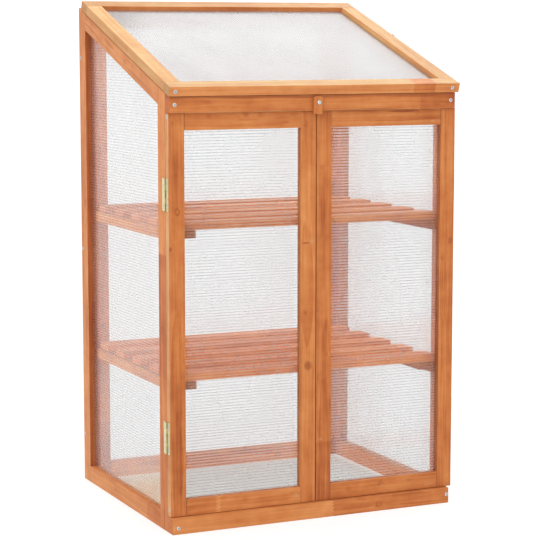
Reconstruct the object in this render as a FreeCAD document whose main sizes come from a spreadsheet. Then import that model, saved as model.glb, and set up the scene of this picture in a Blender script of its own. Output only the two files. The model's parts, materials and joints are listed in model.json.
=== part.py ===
import FreeCAD, Part
import math
import os
import Sketcher
from FreeCAD import Placement, Rotation, Vector

# A small greenhouse of grooved softwood frames with twin-wall sheets: two sides,
# a back, a pair of doors, a sloping lid, and two lift-out slatted shelves.
# Frame: +X right, +Y back, +Z up, origin on the ground at the footprint's centre.

doc = FreeCAD.newDocument("mini_greenhouse")
sheet = doc.addObject("Spreadsheet::Sheet", "dims")

# name, value in mm (or degrees), what it is
DIMS = [
    ("width", 650, "over the two side panels"),
    ("sidedepth", 512, "side panel, front edge to back edge"),
    ("faceplane", -242, "y of the side panels' front edges"),
    ("board", 20, "thickness of sides, back and lid"),
    ("frontheight", 887.4, "side panel height at its front edge"),
    ("slope", 18.6, "slope of the top, degrees"),
    ("sidestile", 40, "width of the side stiles"),
    ("siderail", 36, "height of the side bottom rail"),
    ("toprail", 34, "side top rail, square to the slope"),
    ("backstile", 36, "width of the back stiles"),
    ("backrail", 37, "height of the back rails"),
    ("groove", 8, "depth of the sheet grooves"),
    ("slot", 4.2, "width of the sheet grooves"),
    ("tongue", 4, "thickness of the rail tongues"),
    ("tonguelen", 7.8, "length of the rail tongues"),
    ("pane", 4, "thickness of the twin-wall sheet"),
    ("inset", 7, "how far a sheet enters its grooves"),
    ("headerdepth", 25, "header, front to back"),
    ("headerfoot", 848.5, "underside of the header"),
    ("headerend", 320, "right end of the header"),
    ("silldepth", 28, "sill, front to back"),
    ("sillheight", 33, "top of the sill"),
    ("sillend", 314, "right end of the sill"),
    ("doorback", 0.7, "doors' back face ahead of the side panels"),
    ("doorthick", 16.7, "door thickness"),
    ("doorfoot", 34, "bottom of the doors"),
    ("doorhead", 848, "top of the doors"),
    ("doorstile", 34, "width of the door stiles and rails"),
    ("meeting", 1, "half the gap between the doors"),
    ("lidwidth", 654.6, "lid, left to right"),
    ("lidlen", 546, "lid, along the slope"),
    ("lidnose", 26.7, "lid's lower front edge ahead of the side panels"),
    ("lidgap", 2.6, "clear height between the lid and the side panels"),
    ("lidfront", 32, "width of the lid's front rail"),
    ("lidback", 35.5, "width of the lid's back rail"),
    ("lidside", 33.5, "width of the lid's side rails"),
    ("uppershelf", 612, "top of the upper cleats"),
    ("lowershelf", 304.5, "top of the lower cleats"),
    ("cleat", 20, "cleat width"),
    ("cleatheight", 22, "cleat height"),
    ("cleatinset", 0.5, "cleat ends from front and back"),
    ("shelfgap", 0.2, "clearance under the slats"),
    ("slatspan", 300, "half the length of a slat"),
    ("slatwide", 50, "slat width"),
    ("slatthick", 15, "slat thickness"),
    ("slatfirst", 10, "front slat from the side panels' front"),
    ("slatpitch", 101, "slat to slat"),
    ("battenwide", 27, "batten width"),
    ("battenheight", 16, "batten height"),
    ("battenplay", 0.5, "batten to cleat"),
    ("battenlap", 4, "batten past the outer slats"),
    ("barrel", 2.8, "hinge barrel radius"),
    ("leafwide", 15, "hinge leaf width from the axis"),
    ("leafthick", 1.2, "hinge leaf thickness"),
    ("hingelen", 65, "hinge length"),
    ("knucklegap", 0.2, "gap between hinge knuckles"),
    ("pinrad", 1.3, "hinge pin radius"),
    ("pinplay", 0.05, "radial clearance round a pin or pivot"),
    ("hingefrom", 161, "hinge centre from the door's ends"),
    ("hingeaxis", 0.5, "door hinge axis ahead of the side panels"),
    ("lidhinge", 210, "lid hinge centre from the middle"),
    ("screwat", 9, "hinge screw from the axis"),
    ("screwstep", 23, "hinge screw from the hinge's middle"),
    ("buttonx", -1.9, "turn button pivot, sideways"),
    ("buttonz", 865.3, "turn button pivot height"),
    ("buttonleft", 10.7, "turn button, left of its pivot"),
    ("buttonright", 8.5, "turn button, right of its pivot"),
    ("buttondown", 23.8, "turn button, below its pivot"),
    ("buttonup", 12.2, "turn button, above its pivot"),
    ("buttonthick", 8, "turn button thickness"),
    ("buttontilt", 2.5, "turn button's lean at rest, degrees"),
    ("workgap", 0.3, "gap between parts that move on each other"),
    ("stayat", 315, "stay pivot from the lid's front edge"),
    ("stayrise", 12.5, "stay pivot above the lid's underside"),
    ("staylen", 225, "stay, pivot to catch hole"),
    ("staythick", 2, "stay thickness"),
    ("stayeye", 9, "radius of the stay's pivot end"),
    ("stayend", 6.5, "radius of the stay's free end"),
    ("stayhole", 4.5, "radius of the stay's catch hole"),
    ("pegy", 203, "stay peg from the side panels' front"),
    ("pegz", 938.5, "stay peg height"),
]
VALUE = {}
for row, (name, value, note) in enumerate(DIMS, 1):
    sheet.set("A%d" % row, name)
    sheet.set("B%d" % row, str(value))
    sheet.set("C%d" % row, note)
    sheet.setAlias("B%d" % row, name)
    VALUE[name] = float(value)
doc.recompute()


class Size:
    """A number together with the sheet expression that gives it."""

    def __init__(self, value, text):
        self.value = float(value)
        self.text = text

    @staticmethod
    def of(other):
        if isinstance(other, Size):
            return other
        return Size(other, "(%r)" % float(other))

    def _join(self, other, sign, result):
        return Size(result, "(%s %s %s)" % (self.text, sign, other.text))

    def __add__(self, other):
        other = Size.of(other)
        return self._join(other, "+", self.value + other.value)

    __radd__ = __add__

    def __sub__(self, other):
        other = Size.of(other)
        return self._join(other, "-", self.value - other.value)

    def __rsub__(self, other):
        return Size.of(other) - self

    def __mul__(self, other):
        other = Size.of(other)
        return self._join(other, "*", self.value * other.value)

    __rmul__ = __mul__

    def __truediv__(self, other):
        other = Size.of(other)
        return self._join(other, "/", self.value / other.value)

    def __neg__(self):
        return Size.of(0) - self


def d(name):
    return Size(VALUE[name], "dims.%s" % name)


SLOPE = d("slope")
TAN = Size(math.tan(math.radians(SLOPE.value)), "tan(dims.slope)")
SIN = Size(math.sin(math.radians(SLOPE.value)), "sin(dims.slope)")
COS = Size(math.cos(math.radians(SLOPE.value)), "cos(dims.slope)")

# Three ways to lay a profile: (y, z) extruded along +X; (x, z) extruded toward -Y;
# (x, y) extruded along +Z. The lid's own frame is the last one, tipped by the slope.
SIDE = Rotation(Vector(1, 1, 1), 120)
FRONT = Rotation(Vector(1, 0, 0), 90)
PLAN = Rotation()
TIPPED = Rotation(Vector(1, 0, 0), SLOPE.value)


def bind(obj, prop, size):
    obj.setExpression(prop, Size.of(size).text)


def place(obj, origin, rotation, tipped=False):
    origin = [Size.of(v) for v in origin]
    obj.Placement = Placement(Vector(*[v.value for v in origin]), rotation)
    for axis, value in zip("xyz", origin):
        bind(obj, "Placement.Base.%s" % axis, value)
    if tipped:
        bind(obj, "Placement.Rotation.Angle", SLOPE)


def plane(body, role):
    return [o for o in body.Origin.OriginFeatures if o.Role == role][0]


def polygon(body, name, points, role="XY_Plane", lift=None):
    """A closed outline whose every corner is dimensioned from the origin."""
    sketch = body.newObject("Sketcher::SketchObject", name)
    sketch.AttachmentSupport = (plane(body, role), [""])
    sketch.MapMode = "FlatFace"
    points = [(Size.of(a), Size.of(b)) for a, b in points]
    corners = [Vector(a.value, b.value, 0) for a, b in points]
    n = len(corners)
    for i in range(n):
        sketch.addGeometry(Part.LineSegment(corners[i], corners[(i + 1) % n]), False)
    for i in range(n):
        sketch.addConstraint(Sketcher.Constraint("Coincident", i, 2, (i + 1) % n, 1))
    for i, (a, b) in enumerate(points):
        for kind, size in (("DistanceX", a), ("DistanceY", b)):
            k = sketch.addConstraint(
                Sketcher.Constraint(kind, -1, 1, i, 1, size.value))
            sketch.setExpression("Constraints[%d]" % k, size.text)
    if lift is not None:
        lift = Size.of(lift)
        sketch.AttachmentOffset = Placement(Vector(0, 0, lift.value), Rotation())
        bind(sketch, "AttachmentOffset.Base.z", lift)
    return sketch


def rect(a0, a1, b0, b1):
    return [(a0, b0), (a1, b0), (a1, b1), (a0, b1)]


def board(name, origin, rotation, outline, thick, pads=(), pockets=(), tipped=False):
    """A board from its outline, with tongues (pads) and grooves (pockets).

    Each pad or pocket is (outline, from, to), measured through the thickness.
    """
    body = doc.addObject("PartDesign::Body", name)
    base = polygon(body, name + "_outline", outline)
    pad = body.newObject("PartDesign::Pad", name + "_stock")
    pad.Profile = base
    bind(pad, "Length", thick)
    for i, (shape, low, high) in enumerate(pads):
        s = polygon(body, "%s_tongue%d" % (name, i), shape, lift=low)
        p = body.newObject("PartDesign::Pad", "%s_tonguepad%d" % (name, i))
        p.Profile = s
        bind(p, "Length", Size.of(high) - low)
    for i, (shape, low, high) in enumerate(pockets):
        s = polygon(body, "%s_groove%d" % (name, i), shape, lift=high)
        p = body.newObject("PartDesign::Pocket", "%s_groovecut%d" % (name, i))
        p.Profile = s
        bind(p, "Length", Size.of(high) - low)
    place(body, origin, rotation, tipped)
    STOCK[name] = body
    return body


STOCK = {}      # every sub-part before its screw holes
BORES = {}      # sub-part name -> list of bore links
GROUPS = {}     # grouped small parts -> list of links

HALF = d("width") / 2
FACE = d("faceplane")
BOARD = d("board")
DEPTH = d("sidedepth")
GROOVE, SLOT = d("groove"), d("slot")
TONGUE, REACH, INSET, PANE = d("tongue"), d("tonguelen"), d("inset"), d("pane")


def middle(thick, wide):
    """The band of a given width in the middle of a board's thickness."""
    return (Size.of(thick) - wide) / 2, (Size.of(thick) + wide) / 2


def top(y):
    """Height of the sloping top edge of the sides at y behind their front edge."""
    return d("frontheight") + Size.of(y) * TAN


# --- side panels ------------------------------------------------------------
STILE, RAIL = d("sidestile"), d("siderail")
DROP = d("toprail") / COS          # the top rail's width, measured upright
GRIP = GROOVE / COS
inner0, inner1 = STILE, DEPTH - STILE
slot_band = middle(BOARD, SLOT)
tongue_band = middle(BOARD, TONGUE)
pane_band = middle(BOARD, PANE)

for side, x0 in (("left", -HALF), ("right", HALF - BOARD)):
    origin = (x0, FACE, 0)
    board(side + "_side_front_stile", origin, SIDE,
          [(0, 0), (STILE, 0), (STILE, top(STILE)), (0, top(0))], BOARD,
          pockets=[(rect(STILE - GROOVE, STILE + 1, -1, top(STILE) + 1), *slot_band)])
    board(side + "_side_back_stile", origin, SIDE,
          [(inner1, 0), (DEPTH, 0), (DEPTH, top(DEPTH)), (inner1, top(inner1))], BOARD,
          pockets=[(rect(inner1 - 1, inner1 + GROOVE, -1, top(inner1) + 5), *slot_band)])
    board(side + "_side_bottom_rail", origin, SIDE,
          rect(inner0, inner1, 0, RAIL), BOARD,
          pads=[(rect(inner0 - REACH, inner1 + REACH, 0, RAIL), *tongue_band)],
          pockets=[(rect(inner0 - 9, inner1 + 9, RAIL - GROOVE, RAIL + 1), *slot_band)])
    t0, t1 = inner0 - REACH, inner1 + REACH
    board(side + "_side_top_rail", origin, SIDE,
          [(inner0, top(inner0) - DROP), (inner1, top(inner1) - DROP),
           (inner1, top(inner1)), (inner0, top(inner0))], BOARD,
          pads=[([(t0, top(t0) - DROP), (t1, top(t1) - DROP), (t1, top(t1)), (t0, top(t0))],
                 *tongue_band)],
          pockets=[([(inner0 - 9, top(inner0 - 9) - DROP - 1),
                     (inner1 + 9, top(inner1 + 9) - DROP - 1),
                     (inner1 + 9, top(inner1 + 9) - DROP + GRIP),
                     (inner0 - 9, top(inner0 - 9) - DROP + GRIP)], *slot_band)])
    p0, p1 = inner0 - INSET, inner1 + INSET
    board(side + "_side_pane", (x0 + pane_band[0], FACE, 0), SIDE,
          [(p0, RAIL - INSET), (p1, RAIL - INSET),
           (p1, top(p1) - DROP + INSET), (p0, top(p0) - DROP + INSET)], PANE)

# --- back panel, held between the sides ---------------------------------------
BSTILE, BRAIL = d("backstile"), d("backrail")
b0, b1 = DEPTH - BOARD, DEPTH
INX = HALF - BOARD
groove_y = (b0 + (BOARD - SLOT) / 2, b0 + (BOARD + SLOT) / 2)
tongue_y = (b0 + (BOARD - TONGUE) / 2, b0 + (BOARD + TONGUE) / 2)
span = 2 * (INX - BSTILE)
for side, x0 in (("left", -INX), ("right", INX - BSTILE)):
    low = BSTILE - GROOVE if side == "left" else Size.of(0)
    board("back_%s_stile" % side, (x0, FACE, 0), SIDE,
          [(b0, 0), (b1, 0), (b1, top(b1)), (b0, top(b0))], BSTILE,
          pockets=[(rect(groove_y[0], groove_y[1], -1, top(b1) + 1), low, low + GROOVE)])
back_under = top(b0) - BRAIL
board("back_top_rail", (-(INX - BSTILE), FACE, 0), SIDE,
      [(b0, back_under), (b1, back_under), (b1, top(b1)), (b0, top(b0))], span,
      pads=[(rect(tongue_y[0], tongue_y[1], back_under, top(b0)), -REACH, span + REACH)],
      pockets=[(rect(groove_y[0], groove_y[1], back_under - 1, back_under + GROOVE),
                -9, span + 9)])
board("back_bottom_rail", (-(INX - BSTILE), FACE, 0), SIDE,
      rect(b0, b1, 0, BRAIL), span,
      pads=[(rect(tongue_y[0], tongue_y[1], 0, BRAIL), -REACH, span + REACH)],
      pockets=[(rect(groove_y[0], groove_y[1], BRAIL - GROOVE, BRAIL + 1),
                -9, span + 9)])
board("back_pane", (0, FACE + b0 + (BOARD + PANE) / 2, 0), FRONT,
      rect(-(span / 2 + INSET), span / 2 + INSET, BRAIL - INSET, back_under + INSET), PANE)

# --- header and sill across the front ----------------------------------------
HD = d("headerdepth")
board("header_rail", (-HALF, FACE, 0), SIDE,
      [(-HD, d("headerfoot")), (0, d("headerfoot")), (0, top(0)), (-HD, top(-HD))],
      HALF + d("headerend"))
board("sill_rail", (-HALF, FACE, 0), SIDE,
      rect(-d("silldepth"), 0, 0, d("sillheight")), HALF + d("sillend"))

# --- doors, laid over the front ------------------------------------------------
DS, DT = d("doorstile"), d("doorthick")
Z0, Z1 = d("doorfoot"), d("doorhead")
dslot, dtongue = middle(DT, SLOT), middle(DT, TONGUE)
for side, sign in (("left", -1), ("right", 1)):
    origin = (0, FACE - d("doorback"), 0)

    def across(a, b):
        """Distances from the middle, mirrored for the left door, low one first."""
        return (-b, -a) if sign < 0 else (a, b)

    out0, out1 = across(HALF - DS, HALF)
    in0, in1 = across(d("meeting"), d("meeting") + DS)
    m0, m1 = across(d("meeting") + DS, HALF - DS)
    g_out = across(HALF - DS - 1, HALF - DS + GROOVE)
    g_in = across(d("meeting") + DS - GROOVE, d("meeting") + DS + 1)
    board(side + "_door_hinge_stile", origin, FRONT, rect(out0, out1, Z0, Z1), DT,
          pockets=[(rect(g_out[0], g_out[1], Z0 - 1, Z1 + 1), *dslot)])
    board(side + "_door_meeting_stile", origin, FRONT, rect(in0, in1, Z0, Z1), DT,
          pockets=[(rect(g_in[0], g_in[1], Z0 - 1, Z1 + 1), *dslot)])
    board(side + "_door_top_rail", origin, FRONT, rect(m0, m1, Z1 - DS, Z1), DT,
          pads=[(rect(m0 - REACH, m1 + REACH, Z1 - DS, Z1), *dtongue)],
          pockets=[(rect(m0 - 9, m1 + 9, Z1 - DS - 1, Z1 - DS + GROOVE), *dslot)])
    board(side + "_door_bottom_rail", origin, FRONT, rect(m0, m1, Z0, Z0 + DS), DT,
          pads=[(rect(m0 - REACH, m1 + REACH, Z0, Z0 + DS), *dtongue)],
          pockets=[(rect(m0 - 9, m1 + 9, Z0 + DS - GROOVE, Z0 + DS + 1), *dslot)])
    board(side + "_door_pane", (0, FACE - d("doorback") - (DT - PANE) / 2, 0), FRONT,
          rect(m0 - INSET, m1 + INSET, Z0 + DS - INSET, Z1 - DS + INSET), PANE)

# --- lid, in its own tipped frame: origin at the middle of its lower front edge ---
LW, LL = d("lidwidth") / 2, d("lidlen")
LF, LB, LS = d("lidfront"), d("lidback"), d("lidside")
LIDY = FACE - d("lidnose")
LIDZ = top(-d("lidnose")) + d("lidgap") / COS
lid_origin = (0, LIDY, LIDZ)


def on_lid(x, u, v):
    """World position of a point given in the lid's frame."""
    u, v = Size.of(u), Size.of(v)
    return x, LIDY + u * COS - v * SIN, LIDZ + u * SIN + v * COS


board("lid_front_rail", lid_origin, TIPPED, rect(-LW, LW, 0, LF), BOARD,
      pockets=[(rect(-(LW - LS + GROOVE), LW - LS + GROOVE, LF - GROOVE, LF + 1),
                *slot_band)], tipped=True)
board("lid_back_rail", lid_origin, TIPPED, rect(-LW, LW, LL - LB, LL), BOARD,
      pockets=[(rect(-(LW - LS + GROOVE), LW - LS + GROOVE, LL - LB - 1, LL - LB + GROOVE),
                *slot_band)], tipped=True)
for side, sign in (("left", -1), ("right", 1)):
    x0, x1 = (-LW, -(LW - LS)) if sign < 0 else (LW - LS, LW)
    t0, t1 = ((-(LW - LS + GROOVE), x1) if sign < 0 else (x0, LW - LS + GROOVE))
    g0, g1 = ((-(LW - LS + GROOVE), x1 + 1) if sign < 0 else (x0 - 1, LW - LS + GROOVE))
    board("lid_%s_rail" % side, lid_origin, TIPPED, rect(x0, x1, LF, LL - LB), BOARD,
          pads=[(rect(t0 + (0.2 if sign < 0 else 0), t1 - (0.2 if sign > 0 else 0),
                      LF - REACH, LL - LB + REACH), *tongue_band)],
          pockets=[(rect(g0, g1, LF - 9, LL - LB + 9), *slot_band)], tipped=True)
board("lid_pane", on_lid(0, 0, pane_band[0]), TIPPED,
      rect(-(LW - LS + INSET), LW - LS + INSET, LF - INSET, LL - LB + INSET), PANE,
      tipped=True)

# --- shelves: cleats on the sides, loose slatted panels on the cleats -----------
CI, CH = d("cleatinset"), d("cleatheight")
SP, SW, ST = d("slatspan"), d("slatwide"), d("slatthick")
PITCH, FIRST = d("slatpitch"), d("slatfirst")


def copy_of(source, name, origin, rotation, tipped=False):
    link = doc.addObject("App::Link", name)
    link.LinkedObject = source
    place(link, origin, rotation, tipped)
    return link


for level in ("upper", "lower"):
    shelf = d(level + "shelf")
    blank = board(level + "_cleat_bar", (0, FACE, 0), PLAN,
                  rect(INX - d("cleat"), INX, CI, b0 - CI), CH)
    del STOCK[level + "_cleat_bar"]
    blank.setExpression("Placement.Base.z", (shelf - CH).text)
    GROUPS[level + "_shelf_cleats"] = [
        copy_of(blank, level + "_cleat_right", (0, FACE, shelf - CH), PLAN),
        copy_of(blank, level + "_cleat_left",
                (-(2 * INX - d("cleat")), FACE, shelf - CH), PLAN)]
    bed = shelf + d("shelfgap")
    for i in range(5):
        y0 = FIRST + i * PITCH
        board("%s_shelf_slat_%d" % (level, i + 1), (0, FACE, bed), PLAN,
              rect(-SP, SP, y0, y0 + SW), ST)
    outer = INX - d("cleat") - d("battenplay")
    blank = board(level + "_batten_bar", (0, FACE, bed - d("battenheight")), PLAN,
                  rect(outer - d("battenwide"), outer, FIRST - d("battenlap"),
                       FIRST + 4 * PITCH + SW + d("battenlap")), d("battenheight"))
    del STOCK[level + "_batten_bar"]
    GROUPS[level + "_shelf_battens"] = [
        copy_of(blank, level + "_batten_right", (0, FACE, bed - d("battenheight")), PLAN),
        copy_of(blank, level + "_batten_left",
                (-(2 * outer - d("battenwide")), FACE, bed - d("battenheight")), PLAN)]

# --- turn button on the header ----------------------------------------------------
BX, BZ = d("buttonx"), d("buttonz")
button = doc.addObject("PartDesign::Body", "turn_button")
R = 4
bl, br, bd, bu = -d("buttonleft"), d("buttonright"), -d("buttondown"), d("buttonup")
s = polygon(button, "turn_button_outline",
            [(bl + 1.2, bd), (br - 1.2, bd), (br, bd + 1.2), (br, bu - R), (br - 0.3 * R, bu - 0.3 * R),
             (br - R, bu), (bl + R, bu), (bl + 0.3 * R, bu - 0.3 * R), (bl, bu - R), (bl, bd + 1.2)])
pad = button.newObject("PartDesign::Pad", "turn_button_stock")
pad.Profile = s
bind(pad, "Length", d("buttonthick"))
hole = button.newObject("PartDesign::SubtractiveCylinder", "turn_button_bore")
bind(hole, "Radius", 2.0 + d("pinplay"))
bind(hole, "Height", d("buttonthick") + 2)
hole.Placement = Placement(Vector(0, 0, -1), Rotation())
tilt = Rotation(Vector(0, 1, 0), VALUE["buttontilt"])
place(button, (BX, FACE - HD - d("workgap"), BZ), tilt.multiply(FRONT))
STOCK["turn_button"] = button

# --- hinge: a pair of leaves on a common axis (local Z), wood behind local x = -barrel ---
BR, LEAF, LT, HL = d("barrel"), d("leafwide"), d("leafthick"), d("hingelen")
KG = d("knucklegap") / 2
KN = HL / 5


def leaf(name, sign, knuckles):
    """A leaf: a comb-shaped plate, its knuckles, the pin bore and two sunk holes."""
    body = doc.addObject("PartDesign::Body", name)
    back = (BR + 0.4) * sign
    edge = LEAF * sign
    outline = [(edge, -HL / 2), (edge, HL / 2)]
    for k in range(4, -1, -1):
        z1, z0 = -HL / 2 + (k + 1) * KN, -HL / 2 + k * KN
        if k in knuckles:
            hi = z1 if k == 4 else z1 - KG
            lo = z0 if k == 0 else z0 + KG
            if k == 4:
                outline += [(0, hi), (0, lo)]
            elif k == 0:
                outline += [(back, hi), (0, hi), (0, lo)]
            else:
                outline += [(back, hi), (0, hi), (0, lo), (back, lo)]
        else:
            if k == 4:
                outline += [(back, z1)]
            if k == 0:
                outline += [(back, z0)]
            if k == 3 and 4 in knuckles:
                outline += [(back, z1 + KG)]
    s = polygon(body, name + "_outline", outline, role="YZ_Plane", lift=-BR)
    pad = body.newObject("PartDesign::Pad", name + "_plate")
    pad.Profile = s
    bind(pad, "Length", LT)
    for k in knuckles:
        z1, z0 = -HL / 2 + (k + 1) * KN, -HL / 2 + k * KN
        hi = z1 if k == 4 else z1 - KG
        lo = z0 if k == 0 else z0 + KG
        c = body.newObject("PartDesign::AdditiveCylinder", "%s_knuckle%d" % (name, k))
        bind(c, "Radius", BR)
        bind(c, "Height", hi - lo)
        c.Placement = Placement(Vector(0, 0, lo.value), Rotation())
        bind(c, "Placement.Base.z", lo)
    c = body.newObject("PartDesign::SubtractiveCylinder", name + "_bore")
    bind(c, "Radius", d("pinrad") + d("pinplay"))
    bind(c, "Height", HL + 2)
    c.Placement = Placement(Vector(0, 0, -HL.value / 2 - 1), Rotation())
    bind(c, "Placement.Base.z", -HL / 2 - 1)
    for j, z in enumerate((-d("screwstep"), d("screwstep"))):
        c = body.newObject("PartDesign::SubtractiveCone", "%s_sink%d" % (name, j))
        bind(c, "Radius1", 2.5)
        bind(c, "Radius2", 3.4)
        bind(c, "Height", LT + 0.2)
        y = d("screwat") * sign
        c.Placement = Placement(Vector(-BR.value - 0.1, y.value, z.value),
                                Rotation(Vector(0, 1, 0), 90))
        bind(c, "Placement.Base.x", -BR - 0.1)
        bind(c, "Placement.Base.y", y)
        bind(c, "Placement.Base.z", z)
    return body


leaf_a = leaf("hinge_leaf_outer", 1, (0, 2, 4))
leaf_b = leaf("hinge_leaf_inner", -1, (1, 3))


def spindle(name, points, cross=None):
    """A turned piece along local +Z from its half outline, with a driver cross."""
    body = doc.addObject("PartDesign::Body", name)
    s = polygon(body, name + "_half", points, role="XZ_Plane")
    turn = body.newObject("PartDesign::Revolution", name + "_turned")
    turn.Profile = s
    turn.ReferenceAxis = (s, ["V_Axis"])
    turn.Angle = 360
    if cross:
        arm, wide, start, deep = cross
        plus = [(-arm, -wide), (-wide, -wide), (-wide, -arm), (wide, -arm), (wide, -wide),
                (arm, -wide), (arm, wide), (wide, wide), (wide, arm), (-wide, arm),
                (-wide, wide), (-arm, wide)]
        s = polygon(body, name + "_cross", plus, lift=start + deep)
        p = body.newObject("PartDesign::Pocket", name + "_recess")
        p.Profile = s
        bind(p, "Length", deep + 0.5)
    return body


# Countersunk screws: head at z = 0, point at z = length. Each has a bore to match.
def screw_pair(name, head, shank, length, sink):
    s = spindle(name, [(0, 0), (head, 0), (head, 0.4), (shank, sink), (shank, length - 3),
                       (0, length)], cross=(head * 0.55, head * 0.13, 0, 1.2))
    b = spindle(name + "_bore", [(0, -1.5), (head + 0.1, -1.5), (head + 0.1, 0.5),
                                 (shank + 0.1, sink + 0.1), (shank + 0.1, length + 0.5),
                                 (0, length + 0.5)])
    return s, b


wood_screw = screw_pair("wood_screw", 4.0, 2.0, 45, 3.2)
frame_screw = screw_pair("frame_screw", 4.0, 2.0, 58, 3.2)
cleat_screw = screw_pair("cleat_screw", 3.5, 1.75, 34, 2.8)
hinge_screw = screw_pair("hinge_screw", 3.0, 1.5, 15, 2.3)
brad = (spindle("brad", [(0, 0), (1.3, 0), (1.3, 0.6), (0.7, 0.8), (0.7, 26), (0, 28)]),
        spindle("brad_bore", [(0, -1), (1.35, -1), (1.35, 0.65), (0.75, 0.85), (0.75, 28.5),
                              (0, 28.5)]))
round_screw = (spindle("round_screw", [(0, 0), (2.6, 0.15), (4.0, 1.0), (4.5, 2.2), (2.0, 2.2),
                                       (2.0, 27), (0, 30)], cross=(2.2, 0.5, 0, 1.3)),
               spindle("round_screw_bore", [(0, 2.3), (2.1, 2.3), (2.1, 30.5), (0, 30.5)]))
peg_screw = (spindle("peg_screw", [(0, 0), (3.0, 0.2), (4.0, 1.2), (4.0, 2.4), (2.0, 2.4),
                                   (2.0, 21), (0, 24)], cross=(2.0, 0.5, 0, 1.3)),
             spindle("peg_screw_bore", [(0, 2.5), (2.1, 2.5), (2.1, 24.5), (0, 24.5)]))
hinge_pin = spindle("hinge_pin", [(0, -HL / 2 + 0.1), (d("pinrad"), -HL / 2 + 0.1),
                                  (d("pinrad"), HL / 2 - 0.1), (0, HL / 2 - 0.1)])

COUNT = [0]
TOWARD = {"+x": Rotation(Vector(0, 1, 0), 90), "-x": Rotation(Vector(0, 1, 0), -90),
          "+y": Rotation(Vector(1, 0, 0), -90), "-y": Rotation(Vector(1, 0, 0), 90),
          "+z": Rotation(), "-z": Rotation(Vector(1, 0, 0), 180),
          "+u": TIPPED.multiply(Rotation(Vector(1, 0, 0), -90)),
          "-u": TIPPED.multiply(Rotation(Vector(1, 0, 0), 90)),
          "+v": TIPPED, "-v": TIPPED.multiply(Rotation(Vector(1, 0, 0), 180))}


def drive(kind, group, at, way, through):
    """Put a screw in a group and its bore in each board it goes through."""
    COUNT[0] += 1
    tag = "%s_%02d" % (group, COUNT[0])
    GROUPS.setdefault(group, []).append(copy_of(kind[0], tag, at, TOWARD[way]))
    for name in through:
        BORES.setdefault(name, []).append(
            copy_of(kind[1], "%s_in_%s" % (tag, name), at, TOWARD[way]))


SINK = 0.3
for x, side in ((-314, "left"), (310, "right")):
    drive(wood_screw, "carcass_screws", (x, FACE - HD + SINK, 865), "+y",
          ["header_rail", side + "_side_front_stile"])
for x, z, side in ((-312, 13, "left"), (309.5, 18.6, "right")):
    drive(wood_screw, "carcass_screws", (x, FACE - d("silldepth") + SINK, z), "+y",
          ["sill_rail", side + "_side_front_stile"])
for side, x, way in (("left", -HALF + SINK, "+x"), ("right", HALF - SINK, "-x")):
    for z in (105, 527, 950):
        drive(wood_screw, "carcass_screws", (x, FACE + b0 + BOARD / 2 + 3, z), way,
              [side + "_side_back_stile", "back_%s_stile" % side])
for level in ("upper", "lower"):
    z = d(level + "shelf") - CH / 2
    for side, x, way in (("left", -(INX - d("cleat")) + -SINK, "-x"),
                         ("right", INX - d("cleat") + SINK, "+x")):
        for y, stile in ((STILE / 2, "front"), (b0 - 10, "back")):
            drive(cleat_screw, "carcass_screws", (x, FACE + y, z), way,
                  [level + "_shelf_cleats", "%s_side_%s_stile" % (side, stile)])

# the stay's peg stands out of the right side panel's top rail
drive(peg_screw, "carcass_screws", (HALF + 8.5, FACE + d("pegy"), d("pegz")), "-x",
      ["right_side_top_rail"])
# the turn button's pivot
drive(round_screw, "turn_button_screw",
      (BX, FACE - HD - 2 * d("workgap") - d("buttonthick") - 2.2, BZ), "+y", ["header_rail"])

# door frame screws, from both edges into the rails' ends
YD = FACE - d("doorback") - DT / 2
for side, sign in (("left", -1), ("right", 1)):
    group = side + "_door_screws"
    for z, rail in ((840.5, "top"), (47.5, "bottom")):
        drive(frame_screw, group, ((HALF - SINK) * sign, YD, z), "-x" if sign > 0 else "+x",
              [side + "_door_hinge_stile", "%s_door_%s_rail" % (side, rail)])
        drive(frame_screw, group, ((d("meeting") + SINK) * sign, YD, z),
              "+x" if sign > 0 else "-x",
              [side + "_door_meeting_stile", "%s_door_%s_rail" % (side, rail)])

# door hinges: leaves flat on the outside, half on the side stile, half on the door's edge
YA = FACE - d("hingeaxis")
for side, sign in (("left", -1), ("right", 1)):
    turn = Rotation(Vector(0, 1, 0), 180) if sign < 0 else Rotation()
    for k, z in enumerate((Z1 - d("hingefrom"), Z0 + d("hingefrom"))):
        axis = ((HALF + BR) * sign, YA, z)
        GROUPS.setdefault("frame_hinge_leaves", []).append(
            copy_of(leaf_a, "%s_frame_leaf_%d" % (side, k), axis, turn))
        GROUPS.setdefault(side + "_door_hinge_leaves", []).append(
            copy_of(leaf_b, "%s_door_leaf_%d" % (side, k), axis, turn))
        GROUPS.setdefault("hinge_pins", []).append(
            copy_of(hinge_pin, "%s_pin_%d" % (side, k), axis, turn))
        for dz in (-d("screwstep"), d("screwstep")):
            x = (HALF + LT - 0.05) * sign
            way = "-x" if sign > 0 else "+x"
            drive(hinge_screw, "carcass_screws", (x, YA + d("screwat"), z + dz), way,
                  [side + "_side_front_stile"])
            drive(hinge_screw, side + "_door_screws", (x, YA - d("screwat"), z + dz), way,
                  [side + "_door_hinge_stile"])

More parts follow.
